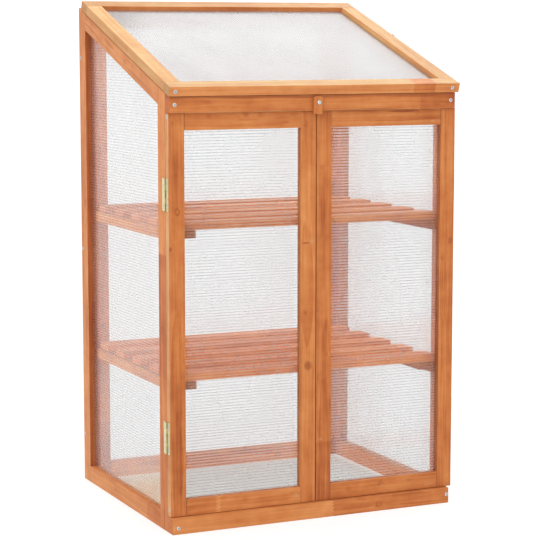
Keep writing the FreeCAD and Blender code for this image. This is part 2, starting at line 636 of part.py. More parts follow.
# lid hinges: one leaf on the back panel's sloping top, one on the lid's back edge
UA = LL + BR
VA = -d("lidgap") + BR
EX, EU, EV = Vector(1, 0, 0), TIPPED.multVec(Vector(0, 1, 0)), TIPPED.multVec(Vector(0, 0, 1))
ON_FRAME = Rotation(EV, EU, -EX, "ZXY")
ON_LID = Rotation(EU, -EV, -EX, "ZXY")
for sign in (-1, 1):
    x = d("lidhinge") * sign
    side = "left" if sign < 0 else "right"
    at = on_lid(x, UA, VA)
    GROUPS["frame_hinge_leaves"].append(copy_of(leaf_a, side + "_back_leaf", at, ON_FRAME))
    GROUPS.setdefault("lid_hinge_leaves", []).append(
        copy_of(leaf_b, side + "_lid_leaf", at, ON_LID))
    GROUPS["hinge_pins"].append(copy_of(hinge_pin, side + "_lid_pin", at, ON_FRAME))
    for dx in (-d("screwstep"), d("screwstep")):
        drive(hinge_screw, "carcass_screws",
              on_lid(x + dx, UA + d("screwat"), VA - BR + LT - 0.05), "-v", ["back_top_rail"])
        drive(hinge_screw, "lid_screws",
              on_lid(x + dx, LL + LT - 0.05, VA + d("screwat")), "-u", ["lid_back_rail"])

# lid frame screws
for x, side in ((-314, "left"), (311, "right")):
    drive(frame_screw, "lid_screws", on_lid(x, SINK, BOARD / 2), "+u",
          ["lid_front_rail", "lid_%s_rail" % side])
    drive(frame_screw, "lid_screws", on_lid(x, LL - SINK, BOARD / 2), "-u",
          ["lid_back_rail", "lid_%s_rail" % side])

# lid stay: a flat bar folded along the lid's right edge, turning on a round-head screw
stay = doc.addObject("PartDesign::Body", "lid_stay_arm")
SE, SN, SL = d("stayeye"), d("stayend"), d("staylen")
s = polygon(stay, "lid_stay_bar", [(0, -5.5), (SL, -5.5), (SL, 5.5), (0, 5.5)])
pad = stay.newObject("PartDesign::Pad", "lid_stay_flat")
pad.Profile = s
bind(pad, "Length", d("staythick"))
for name, radius, at in (("eye", SE, Size.of(0)), ("end", SN, SL)):
    c = stay.newObject("PartDesign::AdditiveCylinder", "lid_stay_" + name)
    bind(c, "Radius", radius)
    bind(c, "Height", d("staythick"))
    c.Placement = Placement(Vector(at.value, 0, 0), Rotation())
    bind(c, "Placement.Base.x", at)
for name, radius, at in (("pivot", 2.0 + d("pinplay"), Size.of(0)), ("catch", d("stayhole"), SL)):
    c = stay.newObject("PartDesign::SubtractiveCylinder", "lid_stay_" + name)
    bind(c, "Radius", radius)
    bind(c, "Height", d("staythick") + 2)
    c.Placement = Placement(Vector(at.value, 0, -1), Rotation())
    bind(c, "Placement.Base.x", at)
STAY = Rotation(EU, EV, EX, "ZXY")
place(stay, on_lid(LW + d("workgap"), d("stayat"), d("stayrise")), STAY)
STOCK["lid_stay_arm"] = stay
drive(round_screw, "lid_screws",
      on_lid(LW + 2 * d("workgap") + d("staythick") + 2.2, d("stayat"), d("stayrise")), "-x",
      ["lid_right_rail"])

# shelf brads, from below through the battens into the slats
for level in ("upper", "lower"):
    bed = d(level + "shelf") + d("shelfgap")
    for i in range(5):
        y = FACE + FIRST + i * PITCH + SW / 2
        for sign in (-1, 1):
            x = (outer - d("battenwide") / 2) * sign
            drive(brad, level + "_shelf_brads", (x, y, bed - d("battenheight") + 0.1), "+z",
                  [level + "_shelf_battens", "%s_shelf_slat_%d" % (level, i + 1)])

# --- groups, and boards with their screw holes -------------------------------------
NODES = {}
for name, links in GROUPS.items():
    group = doc.addObject("Part::Compound", name + "_set")
    group.Links = links
    STOCK[name] = group
for name, stock in STOCK.items():
    if name in BORES:
        tool = doc.addObject("Part::Compound", name + "_bores")
        tool.Links = BORES[name]
        cut = doc.addObject("Part::Cut", name + "_drilled")
        cut.Base = stock
        cut.Tool = tool
        NODES[name] = cut
        stock.Label = name + "_stock"
        cut.Label = name
    else:
        NODES[name] = stock
        stock.Label = name
doc.recompute()

bad = [o.Name for o in doc.Objects if "Invalid" in o.State or "Error" in o.State]
if bad:
    raise RuntimeError("failed objects: %s" % bad)
for name, node in NODES.items():
    shape = node.Shape
    if shape.isNull() or not shape.isValid() or not shape.Solids:
        raise RuntimeError("bad shape: " + name)
    if name in BORES and not shape.Volume < STOCK[name].Shape.Volume - 1:
        raise RuntimeError("holes missing: " + name)

os.makedirs("parts", exist_ok=True)
for name, node in NODES.items():
    node.Shape.exportStep("parts/%s.step" % name)
print(len(NODES), "sub-parts,", sum(len(n.Shape.Solids) for n in NODES.values()), "solids")
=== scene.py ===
import json
import math
import random

import bmesh
import bpy
from mathutils import Matrix, Vector

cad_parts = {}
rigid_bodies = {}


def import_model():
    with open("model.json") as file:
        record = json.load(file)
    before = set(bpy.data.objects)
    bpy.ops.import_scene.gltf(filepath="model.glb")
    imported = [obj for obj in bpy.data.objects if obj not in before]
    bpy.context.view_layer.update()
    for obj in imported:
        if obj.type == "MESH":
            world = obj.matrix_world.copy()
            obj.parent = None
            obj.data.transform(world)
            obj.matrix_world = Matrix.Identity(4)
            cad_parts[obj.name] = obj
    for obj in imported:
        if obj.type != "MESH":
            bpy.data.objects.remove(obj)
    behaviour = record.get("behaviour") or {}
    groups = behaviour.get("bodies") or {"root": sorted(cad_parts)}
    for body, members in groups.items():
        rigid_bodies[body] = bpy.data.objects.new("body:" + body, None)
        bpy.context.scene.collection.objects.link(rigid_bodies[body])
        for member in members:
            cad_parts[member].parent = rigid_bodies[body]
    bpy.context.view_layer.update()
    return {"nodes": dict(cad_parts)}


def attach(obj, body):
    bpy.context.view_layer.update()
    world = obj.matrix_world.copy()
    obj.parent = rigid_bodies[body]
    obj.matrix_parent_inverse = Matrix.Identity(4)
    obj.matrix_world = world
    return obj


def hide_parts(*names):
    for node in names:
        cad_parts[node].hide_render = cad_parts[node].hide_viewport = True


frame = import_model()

scene = bpy.context.scene
MM = 0.001

# --- sizes of the object, in millimetres, as in the construction -------------------
HALF, FACE, DEPTH, BOARD = 325.0, -242.0, 512.0, 20.0
SLOPE = math.radians(18.6)
TAN, SIN, COS = math.tan(SLOPE), math.sin(SLOPE), math.cos(SLOPE)
STILE, RAIL = 40.0, 36.0
DROP = 34.0 / COS
X, Y, Z = Vector((1, 0, 0)), Vector((0, 1, 0)), Vector((0, 0, 1))
LU = Vector((0, COS, SIN))       # up the lid's slope
LV = Vector((0, -SIN, COS))      # square to the lid


def top(y):
    """Height of the sides' sloping top at y behind their front edge."""
    return 887.4 + y * TAN


LID0 = Vector((0, FACE - 26.7, top(-26.7) + 2.6 / COS))


def lid(x, u, v):
    return LID0 + X * x + LU * u + LV * v


# --- nodes helper -------------------------------------------------------------------
class Tree:
    """Short way to write a material's nodes."""

    def __init__(self, name):
        self.mat = bpy.data.materials.new(name)
        self.mat.use_nodes = True
        self.nt = self.mat.node_tree
        self.nt.nodes.clear()
        self.out = self.nt.nodes.new("ShaderNodeOutputMaterial")

    def node(self, kind, **props):
        n = self.nt.nodes.new("ShaderNode" + kind)
        for k, v in props.items():
            setattr(n, k, v)
        return n

    def put(self, socket, value):
        if isinstance(value, bpy.types.NodeSocket):
            self.nt.links.new(value, socket)
        else:
            socket.default_value = value

    def math(self, op, a, b=None, c=None, clamp=False):
        n = self.node("Math", operation=op, use_clamp=clamp)
        for s, v in zip(n.inputs, (a, b, c)):
            if v is not None:
                self.put(s, v)
        return n.outputs[0]

    def vmath(self, op, a, b=None, scale=None):
        n = self.node("VectorMath", operation=op)
        self.put(n.inputs[0], a)
        if b is not None:
            self.put(n.inputs[1], b)
        if scale is not None:
            self.put(n.inputs["Scale"], scale)
        return n.outputs["Value"] if op in ("DOT_PRODUCT", "LENGTH", "DISTANCE") else n.outputs[0]

    def noise(self, vector, scale, detail=2.0, rough=0.5, dist=0.0, dims="3D"):
        n = self.node("TexNoise", noise_dimensions=dims)
        self.put(n.inputs["Vector"], vector)
        n.inputs["Scale"].default_value = scale
        n.inputs["Detail"].default_value = detail
        n.inputs["Roughness"].default_value = rough
        n.inputs["Distortion"].default_value = dist
        return n.outputs[0]

    def ramp(self, fac, stops, interp="LINEAR"):
        n = self.node("ValToRGB")
        n.color_ramp.interpolation = interp
        while len(n.color_ramp.elements) < len(stops):
            n.color_ramp.elements.new(0.5)
        for e, (p, c) in zip(n.color_ramp.elements, stops):
            e.position = p
            e.color = (*c, 1) if len(c) == 3 else c
        self.put(n.inputs[0], fac)
        return n.outputs[0]

    def mix(self, fac, a, b, blend="MIX", clamp=True):
        n = self.node("Mix", data_type="RGBA", blend_type=blend, clamp_result=clamp)
        self.put(n.inputs[0], fac)
        self.put(n.inputs[6], a if isinstance(a, bpy.types.NodeSocket) else (*a, 1))
        self.put(n.inputs[7], b if isinstance(b, bpy.types.NodeSocket) else (*b, 1))
        return n.outputs[2]

    def remap(self, v, a, b, c=0.0, d=1.0, smooth=False):
        n = self.node("MapRange", interpolation_type="SMOOTHSTEP" if smooth else "LINEAR")
        n.clamp = True
        for s, x in zip(n.inputs, (v, a, b, c, d)):
            self.put(s, x)
        return n.outputs[0]

    def attr(self, name):
        return self.node("Attribute", attribute_name=name)


def srgb(r, g, b):
    return tuple((c / 255 / 12.92) if c <= 10 else ((c / 255 + 0.055) / 1.055) ** 2.4
                 for c in (r, g, b))


# --- stained softwood ------------------------------------------------------------------
def wood(name, seed, tone=0.0, knots=(), pith=(0.006, -0.055), ring=0.0034, joint=0.0,
         wave=1.0, at=None, gain=(1.0, 1.0, 1.0), marks=(), bands=(), pale_colours=None):
    """Honey-brown stained softwood.

    The grain attribute holds board coordinates in metres: along, across, thickness.
    knots are (along, across, radius); joint is the length of a finger-jointed piece and
    at the place of one joint. marks are patches (along, across, half length, half width,
    amount), pale if the amount is positive and dark if it is negative. bands are lengths
    of another tone (from, to, amount) with finger-jointed ends. The pale attribute marks
    faces painted paler for the top light and sheen on them, in the two pale colours given
    last (by default the bare timber's). gain scales the stain's colours; on the inner and
    back boards it is painted light.
    """
    pale_colours = pale_colours or BARE
    rnd = random.Random(seed)
    t = Tree(name)
    g = t.attr("grain").outputs["Vector"]
    off = (rnd.uniform(0, 40), rnd.uniform(0, 40), rnd.uniform(0, 40))
    sep = t.node("SeparateXYZ")
    t.put(sep.inputs[0], g)
    u, v, w = sep.outputs
    part = None
    if joint:
        # finger joints: a zigzag across the board where one length meets the next
        start = rnd.uniform(0.0, joint) if at is None else joint - at
        saw = t.math("PINGPONG", t.math("ADD", v, 1.0), 0.0035)
        along = t.math("ADD", u, t.math("MULTIPLY", saw, 1.6))
        cell = t.math("DIVIDE", t.math("ADD", along, start + 3 * joint), joint)
        part = t.math("FLOOR", cell)
        rand = t.node("TexWhiteNoise", noise_dimensions="1D")
        t.put(rand.inputs["W"], t.math("ADD", part, seed * 1.37))
        near = t.math("ABSOLUTE", t.math("SUBTRACT", t.math("FRACT", cell), 0.5))
        line = t.remap(near, 0.5 - 0.0011 / joint, 0.5 - 0.0003 / joint)
        shift = t.vmath("SCALE", rand.outputs["Color"], scale=7.0)
        gp = t.vmath("ADD", t.vmath("ADD", g, off), shift)
    else:
        gp = t.vmath("ADD", g, off)

    # slow wander of the grain, then the rings round a distant pith
    low = t.node("Mapping", vector_type="POINT")
    t.put(low.inputs[0], gp)
    low.inputs["Scale"].default_value = (1.7, 9.0, 9.0)
    wander = t.math("SUBTRACT", t.noise(low.outputs[0], 1.0, 3.0, 0.55), 0.5)
    wander2 = t.math("SUBTRACT", t.noise(t.vmath("ADD", low.outputs[0], (7.7, 3.1, 5.9)),
                                          0.6, 2.0, 0.5), 0.5)
    dv = t.math("SUBTRACT", t.math("ADD", v, t.math("MULTIPLY", wander2, 0.028 * wave)), pith[0])
    dw = t.math("SUBTRACT", w, pith[1])
    if part is not None:
        dv = t.math("ADD", dv, t.math("MULTIPLY",
                    t.math("SUBTRACT", rand.outputs["Value"], 0.5), 0.03))
    rad = t.math("SQRT", t.math("ADD", t.math("MULTIPLY", dv, dv), t.math("MULTIPLY", dw, dw)))
    rad = t.math("ADD", rad, t.math("MULTIPLY", wander, 0.018 * wave))
    knot_core = knot_rim = knot_halo = None
    for ku, kv, kr in knots:
        a = t.math("MULTIPLY", t.math("SUBTRACT", u, ku), 0.78)
        b = t.math("SUBTRACT", v, kv)
        d = t.math("SQRT", t.math("ADD", t.math("MULTIPLY", a, a), t.math("MULTIPLY", b, b)))
        wob = t.math("MULTIPLY", t.math("SUBTRACT", t.noise(gp, 190.0, 2.0), 0.5), kr * 1.5)
        d = t.math("ADD", d, wob)
        core = t.math("MULTIPLY", t.remap(d, kr * 1.0, kr * 0.55, smooth=True),
                      min(1.0, kr / 0.005))
        off_rim = t.math("ABSOLUTE", t.math("SUBTRACT", d, kr * 0.86))
        rim = t.math("MULTIPLY", t.remap(off_rim, kr * 0.32, kr * 0.10, smooth=True),
                     min(1.0, (kr / 0.0055) ** 2))
        halo = t.remap(d, kr * 2.6, kr * 0.8, smooth=True)
        rad = t.math("ADD", rad, t.math("MULTIPLY", halo, kr * 1.3))
        knot_core = core if knot_core is None else t.math("MAXIMUM", knot_core, core)
        knot_rim = rim if knot_rim is None else t.math("MAXIMUM", knot_rim, rim)
        knot_halo = halo if knot_halo is None else t.math("MAXIMUM", knot_halo, halo)
    f = t.math("FRACT", t.math("DIVIDE", rad, ring))
    late = t.ramp(f, [(0.0, (0.02,) * 3), (0.4, (0.14,) * 3), (0.78, (0.66,) * 3),
                      (0.92, (1.0,) * 3), (1.0, (0.1,) * 3)], "EASE")
    # contrast of the rings comes and goes along the board
    patch = t.remap(t.noise(low.outputs[0], 0.8, 2.0), 0.35, 0.7, 0.2, 0.9)
    late = t.math("MULTIPLY", late, patch)

    fib = t.node("Mapping", vector_type="POINT")
    t.put(fib.inputs[0], gp)
    fib.inputs["Scale"].default_value = (11.0, 620.0, 620.0)
    fibre = t.noise(fib.outputs[0], 1.0, 3.0, 0.6)
    fib2 = t.node("Mapping", vector_type="POINT")
    t.put(fib2.inputs[0], gp)
    fib2.inputs["Scale"].default_value = (5.0, 150.0, 150.0)
    streak = t.noise(fib2.outputs[0], 1.0, 3.0, 0.55)
    cloud = t.noise(gp, 8.0, 4.0, 0.6)
    blot = t.noise(t.vmath("ADD", gp, (3.3, 8.1, 1.2)), 34.0, 3.0, 0.6)

    # tone: 0 dark, 1 pale
    val = t.math("ADD", 0.5 + tone, t.math("MULTIPLY", t.math("SUBTRACT", cloud, 0.5), 0.62))
    val = t.math("ADD", val, t.math("MULTIPLY", t.math("SUBTRACT", streak, 0.5), 0.70))
    val = t.math("ADD", val, t.math("MULTIPLY", t.math("SUBTRACT", blot, 0.5), 0.36))
    val = t.math("SUBTRACT", val, t.math("MULTIPLY", late, 0.25))
    val = t.math("ADD", val, t.math("MULTIPLY", t.math("SUBTRACT", fibre, 0.5), 0.30))
    if part is not None:
        val = t.math("ADD", val, t.math("MULTIPLY",
                     t.math("SUBTRACT", rand.outputs["Value"], 0.5), 0.30))
        val = t.math("SUBTRACT", val, t.math("MULTIPLY", line, 0.14))
    if bands:
        saw = t.math("PINGPONG", t.math("ADD", v, 1.0), 0.0035)
        place = t.math("ADD", u, t.math("MULTIPLY", saw, 1.6))
        for u0, u1, shift in bands:
            inside = t.math("MULTIPLY", t.remap(place, u0 - 0.0004, u0 + 0.0004),
                            t.remap(place, u1 + 0.0004, u1 - 0.0004))
            val = t.math("ADD", val, t.math("MULTIPLY", inside, shift))
    colour = t.ramp(val, [(p, tuple(min(0.9, c * k) for c, k in zip(shade, gain)))
                          for p, shade in STAIN])
    if knot_core is not None:
        colour = t.mix(t.math("MULTIPLY", knot_halo, 0.22), colour, KNOT[0])
        rings = t.math("MULTIPLY", t.math("FRACT", t.math("DIVIDE", rad, 0.0013)), 0.5)
        colour = t.mix(t.math("MULTIPLY", knot_core, 0.6), colour,
                       t.mix(rings, KNOT[1], KNOT[0]))
        colour = t.mix(t.math("MULTIPLY", knot_rim, 0.55), colour, KNOT[2])
    for mu, mv, ru, rv, amount in marks:
        a = t.math("DIVIDE", t.math("SUBTRACT", u, mu), ru)
        b = t.math("DIVIDE", t.math("SUBTRACT", v, mv), rv)
        d = t.math("SQRT", t.math("ADD", t.math("MULTIPLY", a, a), t.math("MULTIPLY", b, b)))
        d = t.math("ADD", d, t.math("MULTIPLY", t.math("SUBTRACT",
                   t.noise(fib2.outputs[0], 1.6, 3.0), 0.5), 1.3))
        patch2 = t.math("MULTIPLY", t.remap(d, 1.0, 0.45, smooth=True), abs(amount))
        colour = t.mix(patch2, colour, BARE[0] if amount > 0 else KNOT[2])
    # end grain drinks more stain; eased edges show the timber, partly as wear and partly as a painted edge
    # highlight; the pale faces are painted paler for the top light and sheen on them
    colour = t.mix(t.math("MULTIPLY", t.attr("endgrain").outputs["Fac"], 0.5), colour, KNOT[0])
    painted_sheen = t.math("MULTIPLY", t.attr("pale").outputs["Fac"],
                  t.remap(val, 0.25, 0.72, 0.72, 1.08))
    for u0, u1, shift in bands:
        if shift < 0:
            inside = t.math("MULTIPLY", t.remap(place, u0 - 0.0004, u0 + 0.0004),
                            t.remap(place, u1 + 0.0004, u1 - 0.0004))
            painted_sheen = t.math("MULTIPLY", painted_sheen, t.math("SUBTRACT", 1.0,
                          t.math("MULTIPLY", inside, min(1.0, -shift * 4.0))))
    colour = t.mix(painted_sheen, colour, t.mix(t.remap(val, 0.3, 0.7), pale_colours[0], pale_colours[1]))
    # painted edge highlight with wear: the eased edges are mixed in patches towards the bare timber
    wear_and_edge_highlight = t.remap(t.noise(gp, 38.0, 3.0), 0.38, 0.66, 0.05, 0.45)
    colour = t.mix(t.math("MULTIPLY", t.attr("eased").outputs["Fac"], wear_and_edge_highlight), colour, BARE[0])

    # painted light: this attribute brightens a face that sits in shade; below zero it is painted shade,
    # darkening the face but leaving the stain's red
    up = t.math("ADD", 1.0, t.attr("lift").outputs["Fac"])
    warm = t.math("MINIMUM", up, t.math("POWER", up, 1.7))
    rgb = t.node("CombineXYZ")
    for socket, value in zip(rgb.inputs, (up, warm, warm)):
        t.put(socket, value)
    colour = t.vmath("MINIMUM", t.vmath("MULTIPLY", colour, rgb.outputs[0]), (0.92, 0.7, 0.6))

    b = t.node("BsdfPrincipled")
    t.put(b.inputs["Base Color"], colour)
    rough = t.math("ADD", t.math("MULTIPLY", fibre, 0.18),
                   t.math("ADD", 0.42, t.math("MULTIPLY", t.noise(gp, 22.0, 2.0), 0.12)))
    t.put(b.inputs["Roughness"], rough)
    b.inputs["Specular IOR Level"].default_value = 0.16
    b.inputs["Coat Weight"].default_value = 0.03
    b.inputs["Coat Roughness"].default_value = 0.35
    height = t.math("ADD", t.math("MULTIPLY", late, 0.45), t.math("MULTIPLY", fibre, 0.5))
    if knot_core is not None:
        height = t.math("ADD", height, t.math("MULTIPLY", knot_core, 0.9))
    if part is not None:
        height = t.math("SUBTRACT", height, line)
    bump = t.node("Bump")
    bump.inputs["Strength"].default_value = 0.35
    bump.inputs["Distance"].default_value = 0.0003
    t.put(bump.inputs["Height"], height)
    t.put(b.inputs["Normal"], bump.outputs[0])
    t.put(t.out.inputs[0], b.outputs[0])
    return t.mat


def lin(r, g, b):
    return (r, g, b)


# the stain's range of tones in linear light, from dark to pale
STAIN = [(0.0, lin(0.225, 0.050, 0.013)), (0.26, lin(0.35, 0.091, 0.023)),
         (0.5, lin(0.47, 0.149, 0.040)), (0.74, lin(0.555, 0.210, 0.064)),
         (1.0, lin(0.64, 0.30, 0.110))]
KNOT = (lin(0.35, 0.086, 0.020), lin(0.44, 0.131, 0.033), lin(0.20, 0.041, 0.011))
# BARE: the bare timber's two colours, for pale marks and worn eased edges, and by default the colours of the
# painted paleness for top light and sheen
BARE = (lin(0.49, 0.245, 0.105), lin(0.60, 0.36, 0.180))


# --- boards ----------------------------------------------------------------------------
def to_mesh(obj):
    """The object's mesh with its modifiers applied."""
    dg = bpy.context.evaluated_depsgraph_get()
    new = bpy.data.meshes.new_from_object(obj.evaluated_get(dg))
    old = obj.data
    obj.modifiers.clear()
    obj.data = new
    bpy.data.meshes.remove(old)


def bore_mesh(bores):
    """Countersunk screw holes as one cutter; each bore is (point, inward, head, shank, sink, length)."""
    bm = bmesh.new()
    for at, way, head, shank, sink, length in bores:
        rings = [(-3.0, head), (0.55, head), (sink + 0.15, shank), (length, shank)]
        way = way.normalized()
        side = way.orthogonal().normalized()
        other = way.cross(side)
        n = 40
        loops = []
        for depth, r in rings:
            loops.append([bm.verts.new((at + way * depth + side * (r * math.cos(2 * math.pi * k / n))
                                        + other * (r * math.sin(2 * math.pi * k / n))) * MM)
                          for k in range(n)])
        for a, b in zip(loops, loops[1:]):
            for k in range(n):
                bm.faces.new((a[k], a[(k + 1) % n], b[(k + 1) % n], b[k]))
        bm.faces.new(list(reversed(loops[0])))
        bm.faces.new(loops[-1])
    bmesh.ops.recalc_face_normals(bm, faces=bm.faces)
    me = bpy.data.meshes.new("cutter")
    bm.to_mesh(me)
    bm.free()
    return me


BORES = {}       # node -> list of bores


def plank(node, body, base, sweep, along, across, material, ease=1.0, name=None, bores=None,
          pale=(), lift=()):
    """A board: the outline base swept by a vector, its edges eased, its holes drilled.

    pale lists (direction, amount) for faces painted paler for the top light and sheen on them,
    and the list after it, of painted light, does so for faces brightened where they sit in
    shade, and below zero darkened as painted shade.
    """
    name = name or node + "_board"
    bm = bmesh.new()
    verts = [bm.verts.new(p * MM) for p in base]
    face = bm.faces.new(verts)
    ext = bmesh.ops.extrude_face_region(bm, geom=[face])
    bmesh.ops.translate(bm, vec=sweep * MM,
                        verts=[v for v in ext["geom"] if isinstance(v, bmesh.types.BMVert)])
    bmesh.ops.recalc_face_normals(bm, faces=bm.faces)
    flats = [f.normal.copy() for f in bm.faces]
    bmesh.ops.bevel(bm, geom=list(bm.edges), offset=ease * MM, segments=3, profile=0.6,
                    affect="EDGES", clamp_overlap=True)
    me = bpy.data.meshes.new(name)
    bm.to_mesh(me)
    bm.free()
    obj = bpy.data.objects.new(name, me)
    scene.collection.objects.link(obj)
    if bores is None:
        bores = BORES.get(node)
    if bores:
        cutter = bpy.data.objects.new("cutter", bore_mesh(bores))
        scene.collection.objects.link(cutter)
        m = obj.modifiers.new("drill", "BOOLEAN")
        m.operation, m.object, m.solver = "DIFFERENCE", cutter, "EXACT"
        to_mesh(obj)
        me = obj.data
        me.name = name
        bpy.data.objects.remove(cutter)
    along, across = along.normalized(), across.normalized()
    thick = along.cross(across)
    origin = sum((Vector(p) for p in base), Vector()) / len(base) + sweep / 2
    lows = min(Vector(p).dot(along) for p in list(base) + [Vector(p) + sweep for p in base])
    me.attributes.new("grain", "FLOAT_VECTOR", "POINT")
    for name_ in ("endgrain", "eased", "pale", "lift"):
        me.attributes.new(name_, "FLOAT", "FACE")
    a = me.attributes["grain"]
    for i, v in enumerate(me.vertices):
        d = v.co - origin * MM
        a.data[i].vector = (v.co.dot(along) - lows * MM, d.dot(across), d.dot(thick))
    end, eased = me.attributes["endgrain"], me.attributes["eased"]
    painted_sheen, painted_light_layer = me.attributes["pale"], me.attributes["lift"]
    for i, p in enumerate(me.polygons):
        n = p.normal
        flat = any(n.dot(f) > 0.995 for f in flats)
        end.data[i].value = 1.0 if abs(n.dot(along)) > 0.6 else 0.0
        eased.data[i].value = 0.0 if flat else 1.0
        painted_sheen.data[i].value = max([k for way, k in pale if n.dot(way) > 0.8] or [0.0])
        painted_light_layer.data[i].value = max([k for way, k in lift if n.dot(way) > 0.8] or [0.0])
        p.use_smooth = True
    me.materials.clear()
    me.materials.append(material)
    m = obj.modifiers.new("weighted", "WEIGHTED_NORMAL")
    m.keep_sharp = True
    m.weight = 80
    mark_sharp(me, 50)
    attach(obj, body)
    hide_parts(node)
    return obj


def mark_sharp(me, degrees):
    bm = bmesh.new()
    bm.from_mesh(me)
    for e in bm.edges:
        if len(e.link_faces) == 2 and e.calc_face_angle(0) > math.radians(degrees):
            e.smooth = False
    bm.to_mesh(me)
    bm.free()


def block(node, body, x, y, z, along, across, material, **more):
    """A square-cut board between pairs of x, y and z."""
    base = [Vector((x[0], y[0], z[0])), Vector((x[1], y[0], z[0])),
            Vector((x[1], y[1], z[0])), Vector((x[0], y[1], z[0]))]
    return plank(node, body, base, Z * (z[1] - z[0]), along, across, material, **more)


def screw_bore(at, way, head=4.15, shank=2.1, sink=3.3, length=50):
    return (Vector(at), way, head, shank, sink, length)


# the holes that show, by board
for x, side in ((-314, "left"), (310, "right")):
    BORES.setdefault("header_rail", []).append(screw_bore((x, FACE - 25, 865), Y))
for x, z in ((-312, 13), (309.5, 18.6)):
    BORES.setdefault("sill_rail", []).append(screw_bore((x, FACE - 28, z), Y))
for side, s in (("left", -1), ("right", 1)):
    for z in (105, 527, 950):
        BORES.setdefault(side + "_side_back_stile", []).append(
            screw_bore((HALF * s, FACE + 505, z), X * -s, length=21))
    for z in (840.5, 47.5):
        BORES.setdefault(side + "_door_hinge_stile", []).append(
            screw_bore((HALF * s, FACE - 0.7 - 8.35, z), X * -s))
        BORES.setdefault(side + "_door_meeting_stile", []).append(
            screw_bore((1.0 * s, FACE - 0.7 - 8.35, z), X * s))
    x = -314 if s < 0 else 311
    BORES.setdefault("lid_front_rail", []).append((lid(x, 0, 10), LU, 4.15, 2.1, 3.3, 33.0))
    BORES.setdefault("lid_back_rail", []).append((lid(x, 546, 10), -LU, 4.15, 2.1, 3.3, 36.0))
for level, zt in (("upper", 612.0), ("lower", 304.5)):
    for s in (-1, 1):
        for y in (20.0, 482.0):
            BORES.setdefault("%s_cleat_%d" % (level, s), []).append(
                screw_bore((285.0 * s, FACE + y, zt - 11), X * s, 3.65, 1.85, 2.9, 21.0))

# --- side panels -------------------------------------------------------------------------
def yz(x, pts):
    return [Vector((x, FACE + y, z)) for y, z in pts]


i0, i1 = STILE, DEPTH - STILE
for side, x0, k in (("left", -HALF, 0), ("right", HALF - BOARD, 10)):
    sweep = X * BOARD
    # painted light on the side panels: the inner faces are brightened where they sit in shade behind the
    # sheets; the outer faces are painted paler and a little brighter for the light on them; the left back
    # stile's front face is darkened as painted shade and the right one's brightened; the right back stile's
    # stain is made oranger to suit the light on it
    inner = [(X, 0.4)] if side == "left" else [(-X, 0.4)]
    out = -X if side == "left" else X
    plank(side + "_side_front_stile", "carcass",
          yz(x0, [(0, 0), (STILE, 0), (STILE, top(STILE)), (0, top(0))]), sweep, Z, Y,
          wood(side + "_side_front_stile_wood", 11 + k, 0.05, [(0.41, 0.006, 0.0055)], joint=0.37),
          lift=inner + [(out, 0.04)], pale=[(out, 0.06)])
    plank(side + "_side_back_stile", "carcass",
          yz(x0, [(i1, 0), (DEPTH, 0), (DEPTH, top(DEPTH)), (i1, top(i1))]), sweep, Z, Y,
          wood(side + "_side_back_stile_wood", 12 + k, -0.02, [(0.63, -0.004, 0.006)],
               gain=(1.0, 1.0, 1.0) if side == "left" else (1.0, 0.86, 0.6)),
          lift=inner + [(out, 0.10), (-Y, -0.22 if side == "left" else 0.2)],
          pale=[(out, 0.30)])
    plank(side + "_side_bottom_rail", "carcass",
          yz(x0, [(i0, 0), (i1, 0), (i1, RAIL), (i0, RAIL)]), sweep, Y, Z,
          wood(side + "_side_bottom_rail_wood", 13 + k, 0.10, [(0.27, 0.002, 0.004)],
               bands=[(0.0, 0.078, -0.10)], marks=[(0.16, -0.006, 0.07, 0.003, 0.5)]),
          lift=inner + [(out, 0.04)], pale=[(out, 0.16)])
    plank(side + "_side_top_rail", "carcass",
          yz(x0, [(i0, top(i0) - DROP), (i1, top(i1) - DROP), (i1, top(i1)), (i0, top(i0))]),
          sweep, LU, LV,
          wood(side + "_side_top_rail_wood", 14 + k, 0.0, [(0.2, 0.0, 0.004)],
               marks=[(0.1, -0.006, 0.05, 0.005, -0.35), (0.30, -0.008, 0.06, 0.004, -0.35)]),
          lift=inner + [(out, 0.08)], pale=[(out, 0.30)])

# --- back panel ---------------------------------------------------------------------------
b0, b1, INX, BST = DEPTH - BOARD, DEPTH, HALF - BOARD, 36.0
# painted light on the back panel: the front faces of its stiles and rails are brightened where they sit in
# shade behind the sheets, the bottom rail's top too, and the stiles' and bottom rail's stain is tuned in
# colour and brightness to the light on them
for side, x0, k in (("left", -INX, 0), ("right", INX - BST, 1)):
    plank("back_%s_stile" % side, "carcass",
          yz(x0, [(b0, 0), (b1, 0), (b1, top(b1)), (b0, top(b0))]), X * BST, Z, X,
          wood("back_%s_stile_wood" % side, 31 + k, 0.0, [(0.35 + 0.3 * k, 0.005, 0.005)],
               joint=0.42, gain=(1.07, 0.95, 0.60)), lift=[(-Y, 0.45 if side == "left" else 0.2)])
under = top(b0) - 37.0
span = 2 * (INX - BST)
plank("back_top_rail", "carcass",
      # a hair lower than the sides: the lid hinges' barrels touch it
      yz(-(INX - BST), [(b0, under), (b1, under), (b1, top(b1) - 0.25), (b0, top(b0) - 0.25)]),
      X * span, X, Z,
      wood("back_top_rail_wood", 33, 0.0, [(0.3, 0.004, 0.005)]), lift=[(-Y, 0.2)])
plank("back_bottom_rail", "carcass",
      yz(-(INX - BST), [(b0, 0), (b1, 0), (b1, 37), (b0, 37)]), X * span, X, Z,
      wood("back_bottom_rail_wood", 34, 0.03, [(0.42, -0.004, 0.005)], gain=(1.05, 1.05, 0.95)),
      lift=[(-Y, 0.7), (Z, 0.3)])

